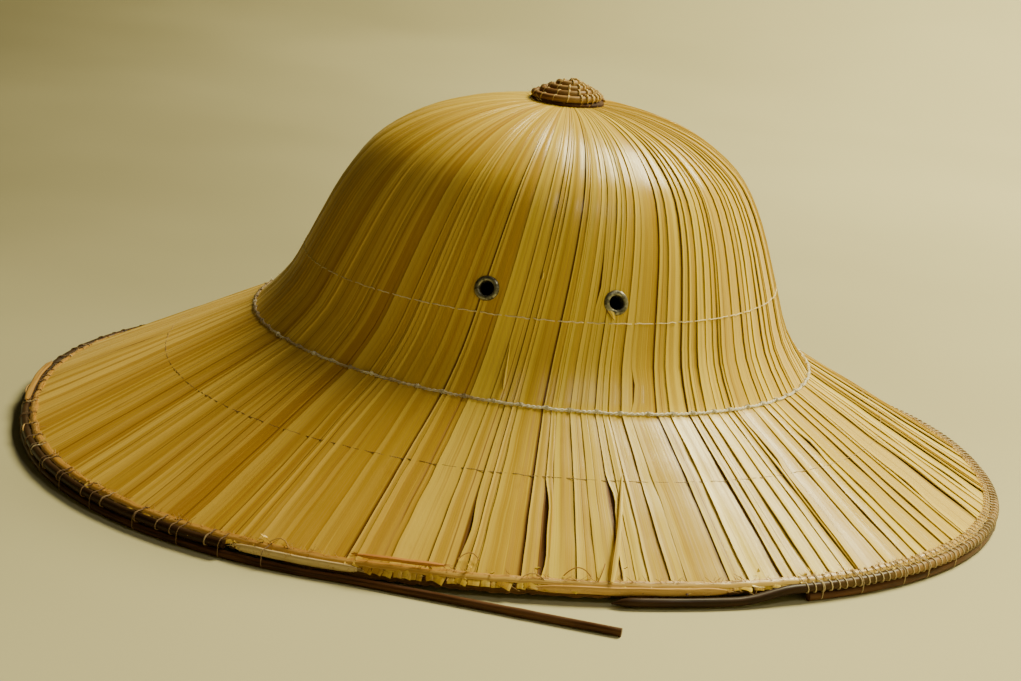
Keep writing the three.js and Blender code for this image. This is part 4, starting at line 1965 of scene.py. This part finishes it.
SPLITS = (
    Split("peeled_split", "peeled_cane", "pale_split", -121.4, -107.6, 3.0, 1.4, Perch.EDGE),
    Split("edge_split", "yellow_cane", "yellow_split", -91.2, -73.6, 3.0, 1.2, Perch.EDGE),
    Split("front_splint", "red_cane", "red_split", -107.9, -99.3, 2.4, 1.4, Perch.HEM),
    Split("side_splint", "tan_cane", "tan_split", 169.0, 183.5, 2.6, 1.2, Perch.CANE),
)


@dataclass(frozen=True)
class SplitCane:
    """Split canes along the rim, squarish in section with torn ends."""

    step: float = 0.7
    sides: int = 12
    square: float = 0.62
    torn: tuple[float, ...] = (0.45, 0.8, 0.95)
    fibres: int = 16

    def build(self, split: Split) -> bpy.types.Object:
        """Builds one split.

        Args:
            split: its sizes and its place.

        Returns:
            The piece.
        """
        pen = MeshPen()
        across, tall = split.thick / 2.0, split.width / 2.0
        half, flat = tall, across / tall
        if split.perch is Perch.EDGE:
            inset, height = HAT.edge_inset - 0.3 - across, HAT.edge_height - tall / 2.0
            half, flat = across, tall / across
        elif split.perch is Perch.CANE:
            inset, height = 1.8, 7.4 + across
        else:
            inset, height = HAT.edge_inset + tall, HAT.edge_height + 3.4 + across
        seed = split.width * 10.0 + split.start
        angles = even_steps(split.start, split.end, self.step)
        last = len(angles) - 1
        path = []
        radii = []
        for index, degrees in enumerate(angles):
            near = min(index, last - index)
            sway = 0.18 * wander(degrees * 0.5, seed)
            rise = 0.25 * wander(degrees * 0.4, seed + 3.0)
            path.append(HAT.rim(math.radians(degrees), inset + sway, height + rise))
            torn = self.torn[near] if near < len(self.torn) else 1.0
            radii.append(half * MM * torn * (1.0 + 0.07 * wander(degrees * 1.4, seed + 6.0)))
        pen.tube(path, radii, self.sides, (0.4, 0.5, 0.5), flat=flat, square=self.square)
        dice = random.Random(int(seed * 7.0) + 900)
        for _ in range(self.fibres):
            tip = dice.choice((0, last))
            ahead = (path[1] - path[0]).normalized() * (-1.0 if tip == 0 else 1.0)
            heading = ahead * dice.uniform(0.8, 3.2) + UP * dice.uniform(-0.5, 0.9)
            root = path[tip] + UP * (MM * dice.uniform(-0.6, 0.6))
            bend = ahead.cross(UP) * (MM * dice.uniform(-1.0, 1.0))
            pen.wisp(root, heading * MM, bend, dice.uniform(0.1, 0.2), random_tone(dice))
        return pen.finish(split.name, crease=55.0)


@dataclass(frozen=True)
class TornEdge:
    """The bare front of the rim: stubs of leaf past the stitching and the torn layer under them."""

    start: float = -122.0
    end: float = -62.0
    stub_widths: tuple[float, float] = (3.4, 6.6)
    stub_thickness: float = 0.3
    under_thickness: float = 0.35
    under_step: float = 0.35
    seed: int = 51

    def stubs(self) -> bpy.types.Object:
        """Builds the pale leaf stubs.

        Returns:
            The piece.
        """
        pen = MeshPen()
        dice = random.Random(self.seed)
        degrees = self.start
        while degrees < self.end:
            wild = smooth_share(abs(degrees + 99.0), 14.0, 4.0)
            reach = dice.uniform(0.7, 1.2) + 0.7 * wild
            width = dice.uniform(*self.stub_widths)
            angle = math.radians(degrees)
            droop = dice.uniform(0.3, 0.7) + 0.5 * wild
            lean = dice.uniform(-0.0015, 0.0015)
            inset = HAT.edge_inset - reach
            path = [HAT.near_rim(angle, 2.2, 0.35), HAT.near_rim(angle, 0.4, 0.3)]
            path.append(path[1].lerp(HAT.rim(angle + lean, inset, HAT.edge_height - droop), 0.55))
            path.append(HAT.rim(angle + lean * 2.0, inset, HAT.edge_height - droop * 1.5))
            normal = HAT.normal(angle, 1.98)
            widths = [width, width, width * dice.uniform(0.95, 1.0), width * dice.uniform(0.86, 1.0)]
            pen.ribbon(path, widths, [normal] * 4, random_tone(dice), bow=dice.uniform(0.1, 0.5))
            here = HAT.rim(angle, 4.0, 6.0)
            gap = (HAT.rim(angle + 0.01, 4.0, 6.0) - here).length / MM
            degrees += math.degrees(0.01) * width * dice.uniform(0.75, 0.98) / gap
        return pen.finish("torn_ends", self.stub_thickness)

    def under(self) -> bpy.types.Object:
        """Builds the dark torn layer that hangs under the leaf ends.

        Returns:
            The piece.
        """
        pen = MeshPen()
        angles = even_steps(self.start, self.end, self.under_step)

        def place(column: int, row: int) -> Vector:
            """Point of the torn layer.

            Args:
                column: step down the layer.
                row: step along the rim.

            Returns:
                The point in the row frame.
            """
            angle = math.radians(angles[row])
            share = column / 3.0
            bite = 0.9 * wander(row * 0.8, 6.0) + 0.7 * wander(row * 0.17, 7.0)
            front = smooth_share(abs(angles[row] + 98.0), 26.0, 8.0)
            depth = (1.1 + 1.5 * front + bite * share) * share
            inset = HAT.edge_inset + 0.9 - 1.5 * share + 0.3 * wander(row * 0.5, 9.0)
            return HAT.rim(angle, inset, HAT.edge_height - 0.9 - depth)

        pen.lattice(3, len(angles) - 1, place, (0.3, 0.7, 0.4), length=0.19)
        return pen.finish("torn_underside", self.under_thickness)


class Scrap(NamedTuple):
    """A loose scrap of leaf: its ends as (degrees, travel, lift) and its widths there."""

    start: tuple[float, float, float]
    end: tuple[float, float, float]
    width_start: float
    width_end: float


SCRAPS = (
    Scrap(start=(-102.3, 0.862, 1.0), end=(-100.9, 0.962, 1.5), width_start=0.5, width_end=1.5),
    Scrap(start=(-80.7, 1.375, 0.5), end=(-84.5, 1.985, 2.2), width_start=1.0, width_end=2.5),
    Scrap(start=(-82.5, 0.779, 0.75), end=(-81.2, 0.8, 1.2), width_start=3.4, width_end=0.4),
    Scrap(start=(-99.3, 0.722, 0.5), end=(-99.25, 0.736, 0.8), width_start=0.5, width_end=1.0),
)


class Curl(NamedTuple):
    """A loose curl of fibre: its ends and its middle as (degrees, inward, lift)."""

    start: tuple[float, float, float]
    middle: tuple[float, float, float]
    end: tuple[float, float, float]
    radius: float


CURLS = (
    Curl(start=(-98.4, 8.0, 1.0), middle=(-97.4, 13.0, 3.0), end=(-96.4, 8.0, 1.2), radius=0.22),
    Curl(start=(-92.6, 0.5, 0.5), middle=(-91.6, 6.5, 3.2), end=(-90.4, 1.0, 0.8), radius=0.2),
    Curl(start=(-89.2, 4.0, 0.8), middle=(-88.0, 8.5, 5.5), end=(-86.9, 4.0, 0.9), radius=0.24),
    Curl(start=(-86.3, 2.0, 0.8), middle=(-85.8, 6.0, 2.6), end=(-85.5, 9.5, 1.4), radius=0.2),
    Curl(start=(-117.8, 3.0, 1.2), middle=(-116.6, 7.0, 3.4), end=(-115.4, 2.0, 1.2), radius=0.22),
    Curl(start=(-63.0, 1.0, 0.5), middle=(-61.8, -2.6, -0.5), end=(-60.4, -1.0, 1.6), radius=0.2),
    Curl(start=(-61.0, -1.6, -1.0), middle=(-59.6, -3.8, 0.5), end=(-58.4, -1.4, 2.0), radius=0.22),
    Curl(start=(-66.0, -1.0, 0.0), middle=(-64.4, -4.4, -1.6), end=(-62.6, -2.6, 1.2), radius=0.18),
    Curl(start=(-165.0, -1.6, 0.0), middle=(-166.6, -4.6, 2.2), end=(-168.0, -1.8, 2.4), radius=0.2),
    Curl(start=(177.0, -1.6, 1.8), middle=(179.0, -4.0, 4.4), end=(181.4, -2.0, 3.0), radius=0.2),
)


class Tuft(NamedTuple):
    """A bunch of loose fibres on the rim: its middle and spread in degrees, and how many there are."""

    middle: float
    spread: float
    count: int


TUFTS = (
    Tuft(middle=-61.0, spread=4.0, count=26),
    Tuft(middle=-116.5, spread=4.0, count=26),
    Tuft(middle=-166.0, spread=3.0, count=12),
    Tuft(middle=178.0, spread=6.0, count=22),
)


@dataclass(frozen=True)
class LooseBits:
    """Scraps of leaf and curls of fibre that lie on the hat."""

    crumbs: int = 9
    thickness: float = 0.22
    scrap_seed: int = 61
    curl_seed: int = 71

    def scraps(self) -> bpy.types.Object:
        """Builds the leaf scraps.

        Returns:
            The piece.
        """
        pen = MeshPen()
        dice = random.Random(self.scrap_seed)
        for scrap in SCRAPS:
            path = []
            normals = []
            widths = []
            for share in even_steps(0.0, 1.0, 0.17):
                ends = zip(scrap.start, scrap.end)
                degrees, travel, lift = (first + (last - first) * share for first, last in ends)
                angle = math.radians(degrees)
                path.append(HAT.lifted(angle, travel, lift + 0.35 * math.sin(math.pi * share)))
                normals.append(HAT.normal(angle, travel))
                width = scrap.width_start + (scrap.width_end - scrap.width_start) * share
                widths.append(width * (1.0 if 0.05 < share < 0.95 else 0.6))
            pen.ribbon(path, widths, normals, (0.95, 0.1, 0.2), bow=0.25)
        for _ in range(self.crumbs):
            angle = math.radians(dice.uniform(-122.0, -60.0))
            root = HAT.near_rim(angle, dice.uniform(2.0, 10.0), 1.3)
            heading = Vector((dice.uniform(-1, 1), dice.uniform(-1, 0.3), dice.uniform(0.0, 0.5)))
            path = [root, root + heading * (1.4 * MM), root + heading * (2.6 * MM) + UP * (0.4 * MM)]
            pen.ribbon(path, [0.9, 1.3, 0.3], [HAT.normal(angle, 1.95)] * 3, random_tone(dice), bow=0.15)
        return pen.finish("leaf_scraps", self.thickness)

    def curls(self) -> bpy.types.Object:
        """Builds the curls of fibre along the rim.

        Returns:
            The piece.
        """
        pen = MeshPen()
        dice = random.Random(self.curl_seed)
        for curl in CURLS:
            ends = []
            for degrees, inward, lift in (curl.start, curl.middle, curl.end):
                ends.append(HAT.near_rim(math.radians(degrees), inward, lift))
            path = []
            for share in even_steps(0.0, 1.0, 0.1):
                rest = 1.0 - share
                path.append(ends[0] * rest ** 2 + ends[1] * (2.0 * share * rest) + ends[2] * share ** 2)
            pen.tube(path, [curl.radius * MM] * len(path), 5, random_tone(dice))
        for tuft in TUFTS:
            for _ in range(tuft.count):
                angle = math.radians(tuft.middle + dice.uniform(-tuft.spread, tuft.spread))
                root = HAT.near_rim(angle, dice.uniform(-2.0, 4.0), dice.uniform(-0.5, 1.4))
                heading = Vector((dice.uniform(-1, 1), dice.uniform(-1, 1), dice.uniform(-0.3, 0.9)))
                bend = Vector((dice.uniform(-1, 1), dice.uniform(-1, 1), dice.uniform(-0.8, 0.6)))
                radius = dice.uniform(0.1, 0.17)
                pen.wisp(root, heading * (2.6 * MM), bend * (1.8 * MM), radius, random_tone(dice))
        return pen.finish("fibre_curls")


class Lamp(NamedTuple):
    """A soft round lamp: its place and size in metres, its watts and its light's colour."""

    name: str
    place: tuple[float, float, float]
    size: float
    power: float
    colour: tuple[float, float, float]


LAMPS = (
    Lamp("key", (1.1, 0.88, 1.75), 1.0, 132.0, (1.0, 0.92, 0.56)),
    Lamp("front", (0.84, -0.9, 1.56), 0.12, 5.5, (1.0, 0.95, 0.8)),
    Lamp("fill", (-1.4, -1.2, 0.9), 1.6, 0.2, (1.0, 0.9, 0.7)),
)


@dataclass
class Photographer:
    """Camera, lights and floor."""

    focal: float = 2200.0
    frame_width: float = 1021.0
    sensor: float = 36.0
    centre: tuple[float, float, float] = (-101.4, -910.7, 297.7)
    aim: tuple[float, float, float] = (-5.7, 0.0, 46.7)
    roll: float = 6.27
    lit: tuple[float, float, float] = (0.0, 0.0, 0.06)
    sky: Colour = (0.92, 0.95, 1.0, 1.0)
    sky_strength: float = 0.025
    floor_half: float = 4.0
    floor_flat: float = 1.3
    # painted shade colour of the floor
    floor_painted_shade: Colour = (0.06, 0.05, 0.017, 1.0)
    floor_pale: Colour = (0.56, 0.52, 0.31, 1.0)

    def camera(self) -> None:
        """Sets the camera where the hat was seen from."""
        lens = bpy.data.cameras.new("camera")
        lens.lens = self.focal / self.frame_width * self.sensor
        lens.sensor_width = self.sensor
        lens.clip_start = 0.05
        lens.clip_end = 30.0
        eye = bpy.data.objects.new("camera", lens)
        bpy.context.collection.objects.link(eye)
        place = HAT.place(*self.centre)
        look = (HAT.place(*self.aim) - place).normalized()
        turn = look.to_track_quat("-Z", "Y") @ Quaternion((0.0, 0.0, 1.0), math.radians(self.roll))
        eye.rotation_mode = "QUATERNION"
        eye.rotation_quaternion = turn
        eye.location = place
        bpy.context.scene.camera = eye

    def hang(self, lamp: Lamp) -> None:
        """Adds a lamp that faces the hat.

        Args:
            lamp: the lamp.
        """
        light = bpy.data.lights.new(lamp.name, "AREA")
        light.shape = "DISK"
        light.size = lamp.size
        light.energy = lamp.power
        light.color = lamp.colour
        holder = bpy.data.objects.new(lamp.name, light)
        bpy.context.collection.objects.link(holder)
        holder.location = lamp.place
        look = Vector(self.lit) - Vector(lamp.place)
        holder.rotation_euler = look.to_track_quat("-Z", "Y").to_euler()

    def lights(self) -> None:
        """Key from the upper right behind the hat, a small lamp at the front right and a weak fill."""
        for lamp in LAMPS:
            self.hang(lamp)
        world = bpy.data.worlds.new("studio")
        bpy.context.scene.world = world
        world.use_nodes = True
        sky = world.node_tree.nodes["Background"]
        sky.inputs["Color"].default_value = self.sky
        sky.inputs["Strength"].default_value = self.sky_strength

    def floor(self) -> None:
        """Pale floor that sweeps up behind the hat, with painted light: darker towards -X and the back, in
        soft blotches.
        """
        pen = bmesh.new()
        bmesh.ops.create_grid(pen, x_segments=24, y_segments=24, size=self.floor_half)
        for vert in pen.verts:
            reach = vert.co.xy.length
            vert.co.z = 1.1 * max(reach - self.floor_flat, 0.0) ** 1.5
        for face in pen.faces:
            face.smooth = True
        data = bpy.data.meshes.new("floor")
        pen.to_mesh(data)
        pen.free()
        sweep = bpy.data.objects.new("floor", data)
        bpy.context.collection.objects.link(sweep)
        cloth, ink, shader = new_material("floor_paper")
        where = ink.put("ShaderNodeTexCoord").outputs["Object"]
        x, y, _ = ink.split(where)
        # painted light: the floor darkens towards -X and towards the back, in soft blotches
        drift = ink.plus(ink.times(x, 0.5), ink.times(ink.blur_noise(where, 1.6), 0.3))
        drift = ink.plus(drift, ink.span(y, -0.5, 0.5, 0.26, -0.04))
        tint = ink.mix(ink.span(drift, -0.3, 0.62), self.floor_painted_shade, self.floor_pale)
        ink.feed(shader.inputs["Base Color"], tint)
        shader.inputs["Roughness"].default_value = 0.95
        data.materials.append(cloth)


LEAF = LeafFinish(
    name="leaf_strip",
    body=(0.57, 0.38, 0.036, 1.0),
    pale=(0.8, 0.6, 0.085, 1.0),
    gold=(0.46, 0.27, 0.014, 1.0),
    tan=(0.36, 0.17, 0.012, 1.0),
)
# painted shade: the under layer of the same leaves is coloured dark brown to stand for the shade under the
# outer strips
SHADED_UNDER_LEAF = LeafFinish(
    name="shaded_under_leaf",
    body=(0.16, 0.07, 0.012, 1.0),
    pale=(0.22, 0.11, 0.02, 1.0),
    gold=(0.15, 0.06, 0.01, 1.0),
    tan=(0.1, 0.035, 0.006, 1.0),
    tuck_shade_from=2.0,
    tuck_shade_to=3.0,
    crease=0.0,
)
HEM_LEAF = LeafFinish(
    name="hem_leaf",
    body=(0.5, 0.3, 0.05, 1.0),
    pale=(0.68, 0.48, 0.13, 1.0),
    gold=(0.44, 0.22, 0.02, 1.0),
    tan=(0.26, 0.11, 0.014, 1.0),
    tuck_shade_from=2.0,
    tuck_shade_to=3.0,
    fibres=9.0,
)
FRAY = CaneFinish(
    "frayed_fibre",
    (0.3, 0.13, 0.035, 1.0),
    (0.62, 0.42, 0.16, 1.0),
    (0.5, 0.3, 0.1, 1.0),
    roughness=0.75,
)
# painted shade: the torn layer under the leaf ends is coloured near black to stand for the shade there
SHADED_TORN_LEAF = CaneFinish(
    "torn_leaf",
    (0.04, 0.018, 0.008, 1.0),
    (0.2, 0.1, 0.035, 1.0),
    (0.3, 0.17, 0.06, 1.0),
    roughness=0.8,
)
UPPER_CANE = CaneFinish(
    "bound_cane",
    (0.011, 0.005, 0.0025, 1.0),
    (0.034, 0.014, 0.006, 1.0),
    (0.34, 0.2, 0.07, 1.0),
    plus_x_tint_from=0.09,
    plus_x_tint_to=0.16,
    plus_x_tint_share=0.85,
    roughness=0.38,
)
LOWER_CANE = CaneFinish(
    "floor_cane",
    (0.02, 0.008, 0.004, 1.0),
    (0.09, 0.036, 0.015, 1.0),
    (0.17, 0.08, 0.034, 1.0),
    plus_x_tint_from=-0.09,
    plus_x_tint_to=0.02,
    plus_x_tint_share=0.45,
    roughness=0.38,
)
COIL = CaneFinish(
    "button_cord",
    (0.08, 0.03, 0.012, 1.0),
    (0.26, 0.13, 0.05, 1.0),
    (0.4, 0.26, 0.09, 1.0),
    plus_x_tint_from=-0.004,
    plus_x_tint_to=0.012,
    plus_x_tint_share=0.7,
    stretch=90.0,
    roughness=0.5,
)
# painted shade: the dark bed stands for the shade between the button's turns
SHADE_BED = CaneFinish(
    "button_shadow",
    (0.03, 0.012, 0.005, 1.0),
    (0.08, 0.035, 0.012, 1.0),
    (0.1, 0.05, 0.02, 1.0),
    roughness=0.8,
)
SPLIT_FINISHES = {
    finish.name: finish
    for finish in (
        CaneFinish("pale_split", (0.38, 0.26, 0.11, 1.0), (0.62, 0.48, 0.25, 1.0), (0.7, 0.6, 0.4, 1.0)),
        CaneFinish("yellow_split", (0.42, 0.22, 0.05, 1.0), (0.66, 0.42, 0.13, 1.0), (0.7, 0.5, 0.2, 1.0)),
        CaneFinish("red_split", (0.28, 0.1, 0.02, 1.0), (0.46, 0.2, 0.045, 1.0), (0.6, 0.35, 0.15, 1.0)),
        CaneFinish("tan_split", (0.2, 0.1, 0.022, 1.0), (0.36, 0.2, 0.045, 1.0), (0.5, 0.35, 0.15, 1.0)),
    )
}
PALE_THREAD = ThreadFinish("pale_thread", (0.82, 0.78, 0.64, 1.0), (0.34, 0.25, 0.15, 1.0))
STITCH_THREAD = ThreadFinish("stitch_thread", (0.78, 0.66, 0.36, 1.0), (0.5, 0.36, 0.14, 1.0), pitch=1.0)
BROWN_THREAD = ThreadFinish("brown_thread", (0.42, 0.3, 0.13, 1.0), (0.2, 0.11, 0.04, 1.0), pitch=1.0)
LASH_THREAD = ThreadFinish("lash_thread", (0.62, 0.5, 0.3, 1.0), (0.2, 0.12, 0.06, 1.0), pitch=1.2)
BEAD_THREAD = ThreadFinish("whip_thread", (0.62, 0.44, 0.16, 1.0), (0.2, 0.1, 0.04, 1.0), pitch=1.2)


def main() -> None:
    """Builds the pieces in order and reports each one."""
    logging.basicConfig(level=logging.INFO, format="%(message)s")
    studio = Photographer()
    studio.camera()
    studio.lights()
    studio.floor()
    fibre = fibre_group()
    leaf = LEAF.build(fibre)
    fray = FRAY.build(fibre)
    lash = LASH_THREAD.build()
    cover = LeafCover()
    dress(cover.build(), leaf, "leaf_strip", "crown", "brim")
    dress(LeafLining().build(), SHADED_UNDER_LEAF.build(fibre), "leaf_strip")
    metal = MetalFinish("eyelet_metal").build()
    for index, seat in enumerate(SEATS, start=1):
        dress(MetalEyelet().build(seat, index), metal, "eyelet_metal", f"eyelet_{index}")
    cord, crown_stitch, brim_stitch = ThreadWork(cover).build()
    dress(cord, PALE_THREAD.build(), "pale_thread", "junction_cord")
    dress(crown_stitch, STITCH_THREAD.build(), "pale_thread")
    dress(brim_stitch, BROWN_THREAD.build(), "pale_thread")
    hem = HemBand()
    dress(hem.band(), HEM_LEAF.build(fibre), "hem_leaf", "hem_strip")
    dress(hem.fray(), fray, "hem_leaf")
    canes = RimCanes()
    dress(canes.upper_cane(), UPPER_CANE.build(fibre), "brown_cane", "upper_cane")
    dress(canes.lower_cane(), LOWER_CANE.build(fibre), "dark_cane", "lower_cane")
    dress(RimLashing().build(), lash, "pale_thread")
    button = CoilButton()
    dress(button.coil(), COIL.build(fibre), "button_cord", "crown_button")
    dress(button.core(), SHADE_BED.build(fibre), "button_cord")
    dress(button.whipping(), BEAD_THREAD.build(), "button_cord")
    for split in SPLITS:
        dress(SplitCane().build(split), SPLIT_FINISHES[split.slot].build(fibre), split.slot, split.node)
    torn = TornEdge()
    dress(torn.stubs(), leaf, "leaf_strip")
    dress(torn.under(), SHADED_TORN_LEAF.build(fibre), "hem_leaf")
    bits = LooseBits()
    dress(bits.scraps(), leaf, "leaf_strip")
    dress(bits.curls(), fray, "hem_leaf")


if __name__ == "__main__":
    main()
